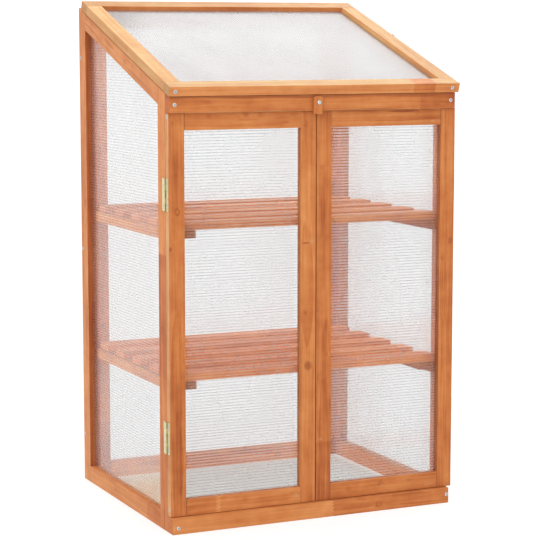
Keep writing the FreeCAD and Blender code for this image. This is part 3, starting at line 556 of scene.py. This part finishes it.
# --- header and sill ------------------------------------------------------------------------
# painted light on the header: its lower front edge is painted paler and brighter as a highlight, and the last
# mark, a long dark band along the top, is a painted shadow of the lid's overhang
plank("header_rail", "carcass",
      yz(-HALF, [(-25, 848.5), (0, 848.5), (0, top(0) + 1.6), (-25, top(-25) + 1.6)]),
      X * (HALF + 320), X, Z,
      wood("header_rail_wood", 41, 0.05, [(0.60, -0.006, 0.004)],
           marks=[(0.10, -0.017, 0.05, 0.0022, 0.45), (0.22, -0.017, 0.04, 0.002, 0.35),
                  (0.45, -0.017, 0.09, 0.0025, -0.5), (0.32, 0.0150, 0.9, 0.0090, -0.62)],
           bands=[(0.565, 0.70, -0.16)]), ease=0.7,
      pale=[((-Y - Z).normalized(), 0.9)], lift=[((-Y - Z).normalized(), 0.9)])
plank("sill_rail", "carcass", yz(-HALF, [(-28, 0), (0, 0), (0, 33), (-28, 33)]),
      X * (HALF + 314), X, Z,
      wood("sill_rail_wood", 42, 0.06, [(0.47, -0.003, 0.005)], joint=0.47))

# --- doors ---------------------------------------------------------------------------------
DY = (FACE - 0.7 - 16.7, FACE - 0.7)
Z0, Z1, DS = 34.0, 848.0, 34.0
for side, s, k in (("left", -1, 0), ("right", 1, 6)):
    body = side + "_door"

    def across_x(a, b):
        return (-b, -a) if s < 0 else (a, b)

    left = s < 0
    if left:
        hk = [(0.6195, 0.001, 0.0055), (0.793, -0.0083, 0.003), (0.258, 0.007, 0.003)]
        hm = [(0.545, -0.0135, 0.006, 0.004, -0.6), (0.15, 0.0, 0.16, 0.012, -0.22)]
        mk = [(0.785, -0.0068, 0.003)]
        mm = [(0.548, 0.007, 0.010, 0.007, 0.5), (0.544, -0.004, 0.0025, 0.012, -0.6),
              (0.399, -0.006, 0.006, 0.006, -0.35), (0.289, -0.003, 0.014, 0.009, -0.6),
              (0.289, 0.006, 0.010, 0.006, -0.35)]
        tk = [(0.053, 0.0095, 0.0035), (0.133, 0.0125, 0.004), (0.1663, 0.0125, 0.0035),
              (0.241, 0.0105, 0.003)]
        tm = [(0.223, -0.0054, 0.012, 0.003, -0.3), (0.0006, 0.0, 0.0012, 0.04, -0.9)]
        bk = [(0.13, 0.004, 0.003)]
        bm_ = [(0.2456, 0.0, 0.008, 0.006, 0.5), (0.0006, 0.0, 0.0012, 0.04, -0.9)]
        bb = [(0.069, 0.078, 0.25), (0.078, 0.30, 0.05)]
        mb = ()
    else:
        hk = [(0.534, 0.0085, 0.0045), (0.4965, -0.0095, 0.0035)]
        hm = [(0.534, 0.010, 0.012, 0.005, -0.3)]
        mk = [(0.698, -0.005, 0.0035), (0.31, 0.007, 0.003)]
        mm = [(0.1316, -0.007, 0.004, 0.004, 0.5)]
        mb = [(-0.01, 0.128, -0.18)]
        tk = [(0.20, 0.0115, 0.003)]
        tm = [(0.165, 0.0125, 0.042, 0.0028, -0.7), (0.236, -0.009, 0.008, 0.004, 0.5),
              (0.2554, 0.0, 0.0012, 0.04, -0.9)]
        bk = [(0.118, 0.006, 0.0045), (0.042, 0.001, 0.0035)]
        bm_ = [(0.236, -0.008, 0.018, 0.0022, 0.6), (0.121, 0.001, 0.004, 0.003, 0.4),
               (0.188, 0.006, 0.010, 0.003, -0.3), (0.2554, 0.0, 0.0012, 0.04, -0.9)]
        bb = ()
    # painted light and shade: the hinge stile's outer edge is painted paler for the light on it, and its
    # inner edge is darkened as painted shade in the groove
    block(side + "_door_hinge_stile", body, across_x(HALF - DS, HALF), DY, (Z0, Z1), Z, X,
          wood(side + "_door_hinge_stile_wood", 51 + k, 0.02, hk, marks=hm),
          pale=[(X * s, 0.75)], lift=[(X * -s, -0.18)])
    block(side + "_door_meeting_stile", body, across_x(1, 1 + DS), DY, (Z0, Z1), Z, X,
          wood(side + "_door_meeting_stile_wood", 52 + k, 0.08 if left else 0.03, mk,
               marks=mm, bands=mb))
    m = across_x(1 + DS, HALF - DS)
    # painted highlight: the top rails' upper front edge is painted paler and brighter, and their tone set
    # paler, against the shade under the header
    brow = (Z - Y).normalized()
    block(side + "_door_top_rail", body, m, DY, (Z1 - DS, Z1), X, Z,
          wood(side + "_door_top_rail_wood", 53 + k, 0.08, tk, marks=tm),
          pale=[(brow, 0.9)], lift=[(brow, 0.9)])
    block(side + "_door_bottom_rail", body, m, DY, (Z0, Z0 + DS), X, Z,
          wood(side + "_door_bottom_rail_wood", 54 + k, 0.04, bk, marks=bm_, bands=bb))

# --- lid -------------------------------------------------------------------------------------
LW, LL, LF, LB, LS = 327.3, 546.0, 32.0, 35.5, 33.5


# painted top light and sheen: the two pale colours the lid's upper faces are painted with, sandier than the
# rest
LID_TOP_SHEEN = ((0.34, 0.198, 0.078), (0.42, 0.28, 0.128))


def lid_board(node, x, u, along, across, material, pale=0.88, inner=()):
    base = [lid(x[0], u[0], 0), lid(x[1], u[0], 0), lid(x[1], u[1], 0), lid(x[0], u[1], 0)]
    # painted light on the lid: the upper, down-slope and left faces are painted paler for the top light and
    # sheen on them, the down-slope faces are brightened, and the faces in inner are brightened, and below
    # zero darkened, as painted light and shade
    plank(node, "lid", base, LV * BOARD, along, across, material,
          pale=[(LV, pale), (-LU, 0.15), (-X, 0.7)],
          lift=[(-LU, 0.16)] + [(way, k) for way, k in inner])


lid_board("lid_front_rail", (-LW, LW), (0, LF), X, LU,
          wood("lid_front_rail_wood", 71, 0.10, [(0.33, 0.004, 0.004)],
               bands=[(0.551, 0.602, -0.16)], pale_colours=LID_TOP_SHEEN))
lid_board("lid_back_rail", (-LW, LW), (LL - LB, LL), X, LU,
          wood("lid_back_rail_wood", 72, 0.04, [(0.2, 0.003, 0.005)], pale_colours=LID_TOP_SHEEN,
               gain=(0.95, 0.95, 0.95)), inner=[(-LU, 0.1), (LV, -0.08)])
lid_board("lid_left_rail", (-LW, -(LW - LS)), (LF, LL - LB), LU, -X,
          wood("lid_left_rail_wood", 73, 0.08, [(0.30, 0.004, 0.004)],
               marks=[(0.12, 0.0, 0.10, 0.010, -0.25)], pale_colours=LID_TOP_SHEEN), inner=[(X, 0.3), (LV, 0.10), (-X, 0.15)])
lid_board("lid_right_rail", (LW - LS, LW), (LF, LL - LB), LU, -X,
          wood("lid_right_rail_wood", 74, 0.05, [(0.16, -0.003, 0.005)],
               pale_colours=LID_TOP_SHEEN), inner=[(-X, 0.3)])

# --- shelves and cleats ------------------------------------------------------------------------
# painted light on the shelves: factors on the stain's red, green and blue that brighten the slats, most on
# the lower shelf, which sits deeper in shade
SHELF_LIGHT = {"upper": (1.38, 1.36, 0.95), "lower": (1.74, 1.66, 1.05)}
# painted light on the slats' front faces, by shelf
SLAT_FRONT_LIGHT = {"upper": 0.14, "lower": 0.04}
for level, bed, k in (("upper", 612.0, 0), ("lower", 304.5, 20)):
    pieces = []
    for s in (-1, 1):
        xs = (-INX, -(INX - 20)) if s < 0 else (INX - 20, INX)
        # painted light: the cleats' stain is brightened, and their outer faces more, where they sit in shade
        # behind the sheets
        pieces.append(block(level + "_shelf_cleats", "carcass", xs,
                            (FACE + 0.5, FACE + b0 - 0.5), (bed - 22, bed), Y, Z,
                            wood("%s_cleat_%s_wood" % (level, "right" if s > 0 else "left"),
                                 81 + k + s, -0.05, [(0.2 + 0.05 * s, 0, 0.003)],
                                 gain=(1.2, 1.3, 1.0)), lift=[(X * s, 0.2)],
                            name="%s_shelf_cleat_%s" % (level, "right" if s > 0 else "left"),
                            bores=BORES["%s_cleat_%d" % (level, s)]))
    base = bed + 0.2
    for i in range(5):
        y0 = FACE + 10 + 101 * i
        # painted light: the slats' stain is brightened by shelf, their front faces and left ends more
        block("%s_shelf_slat_%d" % (level, i + 1), level + "_shelf", (-300, 300),
              (y0, y0 + 50), (base, base + 15), X, Y,
              wood("%s_slat_%d_wood" % (level, i + 1), 84 + k + i, -0.02 + 0.02 * (i % 3),
                   [(0.1 + 0.11 * i, 0.01 - 0.006 * i, 0.004)], joint=0.41 if i % 2 else 0.0,
                   gain=SHELF_LIGHT[level]), lift=[(-Y, SLAT_FRONT_LIGHT[level]), (-X, 0.3)])
    for s in (-1, 1):
        xs = (-284.5, -257.5) if s < 0 else (257.5, 284.5)
        # painted light: the battens' stain is brightened, in the shade under the slats
        block(level + "_shelf_battens", level + "_shelf", xs, (FACE + 6, FACE + 468),
              (base - 16, base), Y, Z,
              wood("%s_batten_%s_wood" % (level, "right" if s > 0 else "left"), 90 + k + s, -0.08,
                   gain=(1.25, 1.3, 1.25)),
              name="%s_shelf_batten_%s" % (level, "right" if s > 0 else "left"), bores=[])

# --- turn button ----------------------------------------------------------------------------------
tilt = Matrix.Rotation(math.radians(2.5), 3, "Y")
R = 4.0
outline = [(-9.5, -23.8), (7.3, -23.8), (8.5, -22.6), (8.5, 12.2 - R), (8.5 - 0.3 * R, 12.2 - 0.3 * R),
           (8.5 - R, 12.2), (-10.7 + R, 12.2), (-10.7 + 0.3 * R, 12.2 - 0.3 * R), (-10.7, 12.2 - R),
           (-10.7, -22.6)]
pivot = Vector((-1.9, FACE - 25 - 0.3, 865.3))
plank("turn_button", "turn_button", [pivot + tilt @ Vector((a, 0, b)) for a, b in outline],
      Y * -8.0, tilt @ Z, tilt @ X, wood("turn_button_wood", 77, 0.0, wave=0.6), ease=0.8,
      bores=[(pivot + Y * -8.0, Y, 2.06, 2.06, 2.0, 12.0)])


# --- twin-wall sheets -----------------------------------------------------------------------------
def beside(t, sep, rims, width, least):
    """A factor that falls to least at the frame: there a sheet is held flat and is clearer.

    rims lists (axis, mirrored, low, high) of the sheet's free part.
    """
    near = None
    for axis, mirrored, low, high in rims:
        q = t.math("ABSOLUTE", sep.outputs[axis]) if mirrored else sep.outputs[axis]
        for d in ([] if low is None else [t.math("SUBTRACT", q, low)]) + \
                 [t.math("SUBTRACT", high, q)]:
            near = d if near is None else t.math("MINIMUM", near, d)
    return t.remap(near, 0.0, width, least, 1.0, smooth=True)


def sheet_material(name, seed, haze, gloss, tint, through, rims, width, least, glow=0.0,
                   blur=0.0):
    """Clear polycarbonate skin: glossy, and hazy where it spans between the ribs.

    glow is the strength of a painted warm light low in the sheet, standing in for the bottom timber's light
    scattered in it.
    """
    rnd = random.Random(seed)
    t = Tree(name)
    g = t.attr("flute").outputs["Vector"]       # across the flutes, along them, depth
    sep = t.node("SeparateXYZ")
    t.put(sep.inputs[0], g)
    f = t.math("FRACT", t.math("DIVIDE", sep.outputs[0], 0.006))
    near = t.math("ABSOLUTE", t.math("SUBTRACT", f, 0.5))      # 0.5 at a rib, 0 between
    open_ = t.remap(near, 0.37, 0.27, smooth=True)
    outside = t.math("GREATER_THAN", t.math("ABSOLUTE", t.math("SUBTRACT", sep.outputs[2], 0.002)),
                     0.0018)
    dust = t.noise(t.vmath("ADD", g, (rnd.uniform(0, 9),) * 3), 9.0, 4.0, 0.55)
    veil = t.math("ADD", t.math("MULTIPLY", open_, haze), 0.004)
    veil = t.math("MULTIPLY", veil, t.remap(dust, 0.3, 0.7, 0.92, 1.08))
    veil = t.math("MULTIPLY", veil, t.math("MULTIPLY", outside,
                  beside(t, sep, rims, width, least)))
    clear = t.node("BsdfTransparent")
    clear.inputs[0].default_value = (through - 0.0016, through, through + 0.0008, 1)
    milk = t.node("MixShader")
    d = t.node("BsdfDiffuse")
    d.inputs[0].default_value = (tint * 0.985, tint * 1.01, tint * 1.03, 1)
    tr = t.node("BsdfTranslucent")
    tr.inputs[0].default_value = (tint * 0.985, tint * 1.01, tint * 1.03, 1)
    back = tr
    if blur:
        # the hazy part also blurs what is behind the sheet
        soft = t.node("BsdfRefraction")
        soft.inputs["Color"].default_value = (0.985, 0.985, 0.98, 1)
        soft.inputs["Roughness"].default_value = blur
        soft.inputs["IOR"].default_value = 1.4
        back = t.node("MixShader")
        back.inputs[0].default_value = 0.7
        t.put(back.inputs[1], tr.outputs[0])
        t.put(back.inputs[2], soft.outputs[0])
    milk.inputs[0].default_value = 0.85 if blur else 0.72
    t.put(milk.inputs[1], d.outputs[0])
    t.put(milk.inputs[2], back.outputs[0])
    if glow:
        # painted light: near the bottom rail the sheet is tinted warm and made hazier, as if lit by the
        # timber
        height = t.math("SUBTRACT", t.math("MULTIPLY", t.math("SUBTRACT", 0.50, sep.outputs[1]),
                                           0.29), sep.outputs[0])
        low = t.remap(height, -0.03, 0.05, smooth=True)
        low = t.math("MULTIPLY", low, outside)
        warm = t.mix(low, tuple(tint * k for k in (0.985, 1.01, 1.03)), (0.95, 0.63, 0.34))
        t.put(d.inputs[0], warm)
        t.put(tr.inputs[0], warm)
        veil = t.math("ADD", veil, t.math("MULTIPLY", low, glow))
    body = t.node("MixShader")
    t.put(body.inputs[0], veil)
    t.put(body.inputs[1], clear.outputs[0])
    t.put(body.inputs[2], milk.outputs[0])
    shine = t.node("BsdfGlossy")
    shine.inputs[0].default_value = (0.95, 0.96, 0.965, 1)
    t.put(shine.inputs["Roughness"], t.remap(dust, 0.3, 0.7, 0.12, 0.24))
    fres = t.node("Fresnel")
    fres.inputs["IOR"].default_value = 1.45
    mix = t.node("MixShader")
    t.put(mix.inputs[0], t.math("MULTIPLY", fres.outputs[0], t.math("MULTIPLY", outside, gloss)))
    t.put(mix.inputs[1], body.outputs[0])
    t.put(mix.inputs[2], shine.outputs[0])
    t.put(t.out.inputs[0], mix.outputs[0])
    return t.mat


def rib_material(name, shade, bend, tint, rims, width, least):
    """The ribs between the skins.

    Their edges, which touch the skins, show as fine grey lines. Light that crosses their
    sides is bent aside, so a sheet looks milky when it is seen across its ribs.
    """
    t = Tree(name)
    g = t.attr("flute").outputs["Vector"]
    sep = t.node("SeparateXYZ")
    t.put(sep.inputs[0], g)
    n = t.noise(g, 30.0, 2.0)
    rim = t.math("GREATER_THAN", t.math("ABSOLUTE", t.math("SUBTRACT", sep.outputs[2], 0.002)),
                 0.00157)
    clear = t.node("BsdfTransparent")
    t.put(clear.inputs[0], t.mix(rim, (0.99, 0.99, 0.99),
                                 t.mix(n, (shade - 0.02,) * 3, (shade + 0.02,) * 3)))
    d = t.node("BsdfTranslucent")
    d.inputs[0].default_value = (tint * 0.985, tint * 1.01, tint * 1.03, 1)
    mix = t.node("MixShader")
    t.put(mix.inputs[0], t.math("MULTIPLY", t.math("SUBTRACT", 1.0, rim),
          t.math("MULTIPLY", beside(t, sep, rims, width, least), bend)))
    t.put(mix.inputs[1], clear.outputs[0])
    t.put(mix.inputs[2], d.outputs[0])
    t.put(t.out.inputs[0], mix.outputs[0])
    return t.mat


# skins and ribs of the doors, of the left side, of the back, of the right side, of the lid
DOOR_FREE = ([(1, True, 0.035, 0.291)], 0.014, 0.45)
SIDE_FREE = ([(1, False, 0.040, 0.472)], 0.080, 0.25)
BACK_FREE = ([(1, True, None, 0.269)], 0.010, 0.5)
LID_FREE = ([(1, False, 0.032, 0.5105), (0, True, None, 0.2938)], 0.016, 0.20)
FRONT = (sheet_material("twin_wall_front", 5, 0.25, 0.35, 0.92, 0.984, *DOOR_FREE, blur=0.35),
         rib_material("twin_wall_front_ribs", 0.85, 0.12, 0.95, *DOOR_FREE))
FLANK = (sheet_material("twin_wall_side", 6, 0.13, 0.25, 0.92, 0.985, *SIDE_FREE, glow=0.26),
         rib_material("twin_wall_side_ribs", 0.93, 0.12, 0.95, *SIDE_FREE))
REAR = (sheet_material("twin_wall_back", 7, 0.045, 0.35, 0.92, 0.973, *BACK_FREE),
        rib_material("twin_wall_back_ribs", 0.985, 0.12, 0.95, *BACK_FREE))
FAR = (sheet_material("twin_wall_far_side", 9, 0.07, 0.25, 0.92, 0.985, *SIDE_FREE),
       rib_material("twin_wall_far_side_ribs", 0.98, 0.05, 0.95, *SIDE_FREE))
# the lid's copy of the sheet has a darker haze, tint 0.80 against 0.92: painted shade that keeps it from
# glowing under the top light
ROOF = (sheet_material("twin_wall_lid", 8, 0.14, 0.35, 0.80, 0.968, *LID_FREE),
        rib_material("twin_wall_lid_ribs", 0.95, 0.75, 0.80, *LID_FREE))


def twin_wall(node, body, origin, across, along, square, outline, limits, first, count,
              kind):
    """A twin-wall sheet 4 mm thick: two skins and a rib every 6 mm.

    across, along and square are the directions over the ribs, along them, and through
    the sheet; outline is its shape in the first two; limits(a) gives a rib's two ends.
    """
    bm = bmesh.new()
    layer = bm.verts.layers.float_vector.new("flute")

    def vert(a, b, c):
        v = bm.verts.new((origin + across * a + along * b + square * c) * MM)
        v[layer] = Vector((a * MM, b * MM, c * MM))
        return v

    def solid(loop0, loop1, mat):
        n = len(loop0)
        faces = [bm.faces.new(loop0), bm.faces.new(list(reversed(loop1)))]
        for k in range(n):
            faces.append(bm.faces.new((loop0[(k + 1) % n], loop0[k], loop1[k],
                                       loop1[(k + 1) % n])))
        for f in faces:
            f.material_index = mat

    for c0, c1 in ((0.0, 0.4), (3.6, 4.0)):
        solid([vert(a, b, c0) for a, b in outline], [vert(a, b, c1) for a, b in outline], 0)
    prof = [(-0.90, 0.42), (-0.45, 0.8), (-0.45, 3.2), (-0.90, 3.58),
            (0.90, 3.58), (0.45, 3.2), (0.45, 0.8), (0.90, 0.42)]
    for i in range(count):
        a = first + 6.0 * i
        ends = limits(a)
        if ends is None:
            continue
        solid([vert(a + da, ends[0], c) for da, c in prof],
              [vert(a + da, ends[1], c) for da, c in prof], 1)
    bmesh.ops.recalc_face_normals(bm, faces=bm.faces)
    me = bpy.data.meshes.new(node + "_twin_wall")
    bm.to_mesh(me)
    bm.free()
    for m in kind:
        me.materials.append(m)
    obj = bpy.data.objects.new(node + "_twin_wall", me)
    scene.collection.objects.link(obj)
    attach(obj, body)
    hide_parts(node)
    return obj


def box_outline(a0, a1, b0_, b1_):
    return [(a0, b0_), (a1, b0_), (a1, b1_), (a0, b1_)]


def ribs_within(a0, a1):
    first = math.ceil((a0 + 1.0) / 6.0) * 6.0
    return first, int((a1 - 1.0 - first) // 6) + 1


# doors: x 28..298 either side, z 61..821, y in the middle of the frame
for side, s in (("left", -1), ("right", 1)):
    x = (-298.0, -28.0) if s < 0 else (28.0, 298.0)
    first, count = ribs_within(61, 821)
    twin_wall(side + "_door_pane", side + "_door", Vector((0, FACE - 0.7 - 6.35, 0)), Z, X, -Y,
              box_outline(61, 821, *x), lambda a, x=x: x, first, count, FRONT)
# back
first, count = ribs_within(30, under + 7)
twin_wall("back_pane", "carcass", Vector((0, FACE + b0 + 12, 0)), Z, X, -Y,
          box_outline(30, under + 7, -276, 276), lambda a: (-276.0, 276.0), first, count,
          REAR)
# sides, with the sloping top
p0, p1 = i0 - 7, i1 + 7


def edge(y):
    return top(y) - DROP + 7


def side_limits(a):
    if a > edge(p1) - 1.5:
        return None
    start = p0 if a + 1.2 < edge(p0) else (a + 1.2 + DROP - 7 - 887.4) / TAN
    return (start, p1)


first, count = ribs_within(29, edge(p1))
for side, x0 in (("left", -HALF + 8), ("right", HALF - 12)):
    twin_wall(side + "_side_pane", "carcass", Vector((x0, FACE, 0)), Z, Y, X,
              [(29, p0), (29, p1), (edge(p1), p1), (edge(p0), p0)], side_limits, first, count,
              FLANK if side == "left" else FAR)
# lid: flutes run down the slope
first, count = ribs_within(-(LW - LS + 7), LW - LS + 7)
twin_wall("lid_pane", "lid", lid(0, 0, 8), X, LU, LV,
          box_outline(-(LW - LS + 7), LW - LS + 7, LF - 7, LL - LB + 7),
          lambda a: (LF - 7, LL - LB + 7), first, count, ROOF)


# --- metal ------------------------------------------------------------------------------------------
def metal(name, pale, dark, rough=(0.24, 0.42), scale=320.0, tint=None):
    t = Tree(name)
    c = t.node("TexCoord").outputs["Object"]
    n1 = t.noise(c, scale, 4.0, 0.6)
    n2 = t.noise(c, scale * 0.22, 3.0, 0.5)
    colour = t.mix(t.remap(n1, 0.3, 0.7), dark, pale)
    if tint:
        for k, shade in enumerate(tint):
            m = t.remap(t.noise(t.vmath("ADD", c, (3.1 * (k + 1), 1.7, 0.4)), scale * 0.3, 2.0),
                        0.48, 0.66)
            colour = t.mix(t.math("MULTIPLY", m, 0.75), colour, shade)
    b = t.node("BsdfPrincipled")
    t.put(b.inputs["Base Color"], colour)
    b.inputs["Metallic"].default_value = 1.0
    t.put(b.inputs["Roughness"], t.remap(n2, 0.3, 0.7, rough[0], rough[1]))
    bump = t.node("Bump")
    bump.inputs["Strength"].default_value = 0.25
    bump.inputs["Distance"].default_value = 0.00008
    t.put(bump.inputs["Height"], n1)
    t.put(b.inputs["Normal"], bump.outputs[0])
    t.put(t.out.inputs[0], b.outputs[0])
    return t.mat


zinc = metal("bright_zinc", (0.70, 0.72, 0.71), (0.46, 0.49, 0.50))
# painted shade: the dark colours of the screws' cross recesses
recess = metal("zinc_painted_shade", (0.13, 0.13, 0.12), (0.05, 0.05, 0.05), (0.5, 0.7))
yellow = metal("yellow_zinc", (0.74, 0.70, 0.46), (0.50, 0.47, 0.28), (0.22, 0.40), 260.0,
               [(0.62, 0.66, 0.40), (0.78, 0.60, 0.44)])
dark_pin = metal("pin_steel", (0.42, 0.40, 0.34), (0.20, 0.19, 0.16), (0.3, 0.5))


def node_object(node):
    entry = frame["nodes"][node]
    return entry if isinstance(entry, bpy.types.Object) else bpy.data.objects[node]


def finish(material, *nodes):
    for node in nodes:
        obj = node_object(node)
        if not obj.material_slots:
            raise RuntimeError("no slot on " + node)
        for slot in obj.material_slots:
            slot.material = material


finish(zinc, "carcass_screws", "left_door_screws", "right_door_screws", "lid_screws",
       "upper_shelf_brads", "lower_shelf_brads", "turn_button_screw", "lid_stay_arm")
finish(yellow, "frame_hinge_leaves", "left_door_hinge_leaves", "right_door_hinge_leaves",
       "lid_hinge_leaves")
finish(dark_pin, "hinge_pins")


def driver_cross(name, body, at, way, arm=2.75, proud=0.3):
    """A screw head's crown: a bright ring round a dark cross, for a screw that goes in along way; the cross
    is painted dark for the shade in its recess.
    """
    way = way.normalized()
    side = way.orthogonal().normalized()
    other = way.cross(side)
    bm = bmesh.new()
    n = 48

    def loop(r, depth):
        out = []
        for k in range(n):
            a = 2 * math.pi * k / n + 0.3
            q = r(a) if callable(r) else r
            out.append(bm.verts.new((at + way * depth + side * (q * math.cos(a))
                                     + other * (q * math.sin(a))) * MM))
        return out

    def cross(a, big=arm, small=1.25):
        w = max(0.0, math.cos(4 * a))
        return small + (big - small) * w ** 0.8

    rows = [loop(3.9, 0.25), loop(3.9, -proud + 0.22), loop(3.6, -proud), loop(cross, -proud),
            loop(lambda a: cross(a, arm * 0.72, 0.9), -proud + 0.42)]
    for i, (a, b) in enumerate(zip(rows, rows[1:])):
        for k in range(n):
            f = bm.faces.new((a[k], a[(k + 1) % n], b[(k + 1) % n], b[k]))
            f.material_index = 1 if i == 3 else 0
    bm.faces.new(list(reversed(rows[0])))
    bm.faces.new(rows[-1]).material_index = 1
    bmesh.ops.recalc_face_normals(bm, faces=bm.faces)
    me = bpy.data.meshes.new(name)
    bm.to_mesh(me)
    bm.free()
    me.materials.append(zinc)
    me.materials.append(recess)
    obj = bpy.data.objects.new(name, me)
    scene.collection.objects.link(obj)
    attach(obj, body)


SUNK = 0.3       # the heads lie this far below the wood
for k, x in enumerate((-314, 310)):
    driver_cross("header_screw_crown_%d" % k, "carcass", Vector((x, FACE - 25 + SUNK, 865)), Y)
for k, (x, z) in enumerate(((-312, 13), (309.5, 18.6))):
    driver_cross("sill_screw_crown_%d" % k, "carcass", Vector((x, FACE - 28 + SUNK, z)), Y)
for side, s in (("left", -1), ("right", 1)):
    for k, z in enumerate((105, 527, 950)):
        driver_cross("%s_side_screw_crown_%d" % (side, k), "carcass",
                     Vector(((HALF - SUNK) * s, FACE + 505, z)), X * -s)
    for k, z in enumerate((840.5, 47.5)):
        driver_cross("%s_door_hinge_side_crown_%d" % (side, k), side + "_door",
                     Vector(((HALF - SUNK) * s, FACE - 9.05, z)), X * -s)
        driver_cross("%s_door_meeting_side_crown_%d" % (side, k), side + "_door",
                     Vector(((1.0 + SUNK) * s, FACE - 9.05, z)), X * s, proud=0.2)
    x = -314 if s < 0 else 311
    driver_cross("lid_front_%s_crown" % side, "lid", lid(x, SUNK, 10), LU)
    driver_cross("lid_back_%s_crown" % side, "lid", lid(x, 546 - SUNK, 10), -LU)

# --- floor, light, camera ---------------------------------------------------------------------------
me = bpy.data.meshes.new("floor")
bm = bmesh.new()
bmesh.ops.create_grid(bm, x_segments=8, y_segments=8, size=40.0)
bm.to_mesh(me)
bm.free()
floor = bpy.data.objects.new("floor", me)
floor.location.z = -0.0005
scene.collection.objects.link(floor)
t = Tree("floor_pale")
c = t.node("TexCoord").outputs["Object"]
n = t.noise(c, 2.2, 3.0)
b = t.node("BsdfPrincipled")
t.put(b.inputs["Base Color"], t.mix(n, (0.36, 0.36, 0.36), (0.38, 0.38, 0.38)))
b.inputs["Emission Color"].default_value = (1.0, 1.0, 1.0, 1)
# painted shadow: the floor's own glow is turned down, and tinted a little green, inside the frame's
# footprint, where less of the room's light reaches the floor
sep = t.node("SeparateXYZ")
t.put(sep.inputs[0], c)
edges = [t.remap(sep.outputs[0], x, x + d, smooth=True)
         for x, d in ((-0.31, 0.03), (0.31, -0.03))] \
    + [t.remap(sep.outputs[1], y, y + d, smooth=True)
       for y, d in ((FACE * MM + 0.01, 0.03), ((FACE + DEPTH) * MM - 0.01, -0.03))]
shade = edges[0]
for e in edges[1:]:
    shade = t.math("MULTIPLY", shade, e)
t.put(b.inputs["Emission Strength"], t.math("SUBTRACT", 0.70, t.math("MULTIPLY", shade, 0.25)))
t.put(b.inputs["Emission Color"], t.mix(shade, (1.0, 1.0, 1.0), (0.90, 1.0, 0.98)))
b.inputs["Roughness"].default_value = 0.75
b.inputs["Specular IOR Level"].default_value = 0.2
t.put(t.out.inputs[0], b.outputs[0])
me.materials.append(t.mat)

world = scene.world or bpy.data.worlds.new("studio")
scene.world = world
world.use_nodes = True
bg = world.node_tree.nodes.get("Background") or world.node_tree.nodes.new("ShaderNodeBackground")
bg.inputs[0].default_value = (1.0, 1.0, 1.0, 1)
bg.inputs[1].default_value = 1.13


off_floor = bpy.data.collections.new("not_on_the_floor")
off_floor.objects.link(floor)
off_floor.collection_objects[0].light_linking.link_state = "EXCLUDE"


inner_boards = bpy.data.collections.new("inner_boards")
for obj in scene.objects:
    if obj.name.startswith(("right_side_", "back_", "upper_shelf_", "lower_shelf_")) \
            and "_pane" not in obj.name:
        inner_boards.objects.link(obj)


def softbox(name, at, aim, size, power, lit=off_floor):
    """A soft rectangular lamp for the object; the floor keeps the even light of the room."""
    data = bpy.data.lights.new(name, "AREA")
    data.shape = "RECTANGLE"
    data.size, data.size_y = size
    data.energy = power
    data.color = (1.0, 0.985, 0.965)
    obj = bpy.data.objects.new(name, data)
    obj.location = at
    obj.rotation_mode = "QUATERNION"
    obj.rotation_quaternion = (Vector(aim) - Vector(at)).to_track_quat("-Z", "Y")
    scene.collection.objects.link(obj)
    obj.light_linking.receiver_collection = lit


softbox("overhead", (-0.3, 0.1, 3.6), (0, 0, 0.5), (3.0, 3.0), 85)
softbox("key", (-3.2, -3.4, 2.6), (0, 0, 0.5), (2.2, 2.2), 50)
softbox("rear", (2.4, 2.8, 2.6), (0, 0, 0.5), (2.4, 2.4), 60)
softbox("inner", (-3.2, -0.35, 0.9), (0.3, 0.2, 0.5), (1.4, 1.4), 42, inner_boards)
softbox("inner_front", (-1.6, -3.4, 1.1), (0.0, 0.2, 0.5), (1.4, 1.4), 20, inner_boards)

cam_data = bpy.data.cameras.new("camera")
cam = bpy.data.objects.new("camera", cam_data)
scene.collection.objects.link(cam)
cam_data.sensor_width = 36.0
cam_data.lens = 124.75
yaw, pitch = 0.4315, 0.1265
forward = Vector((math.sin(yaw) * math.cos(pitch), math.cos(yaw) * math.cos(pitch),
                  -math.sin(pitch)))
cam.rotation_mode = "QUATERNION"
cam.rotation_quaternion = forward.to_track_quat("-Z", "Y")
cam.location = (-1.6841, -3.6898, 1.0069)
cam_data.clip_start, cam_data.clip_end = 0.1, 100.0
scene.camera = cam

scene.view_settings.view_transform = "Standard"
scene.cycles.transparent_max_bounces = 48
scene.cycles.max_bounces = 14
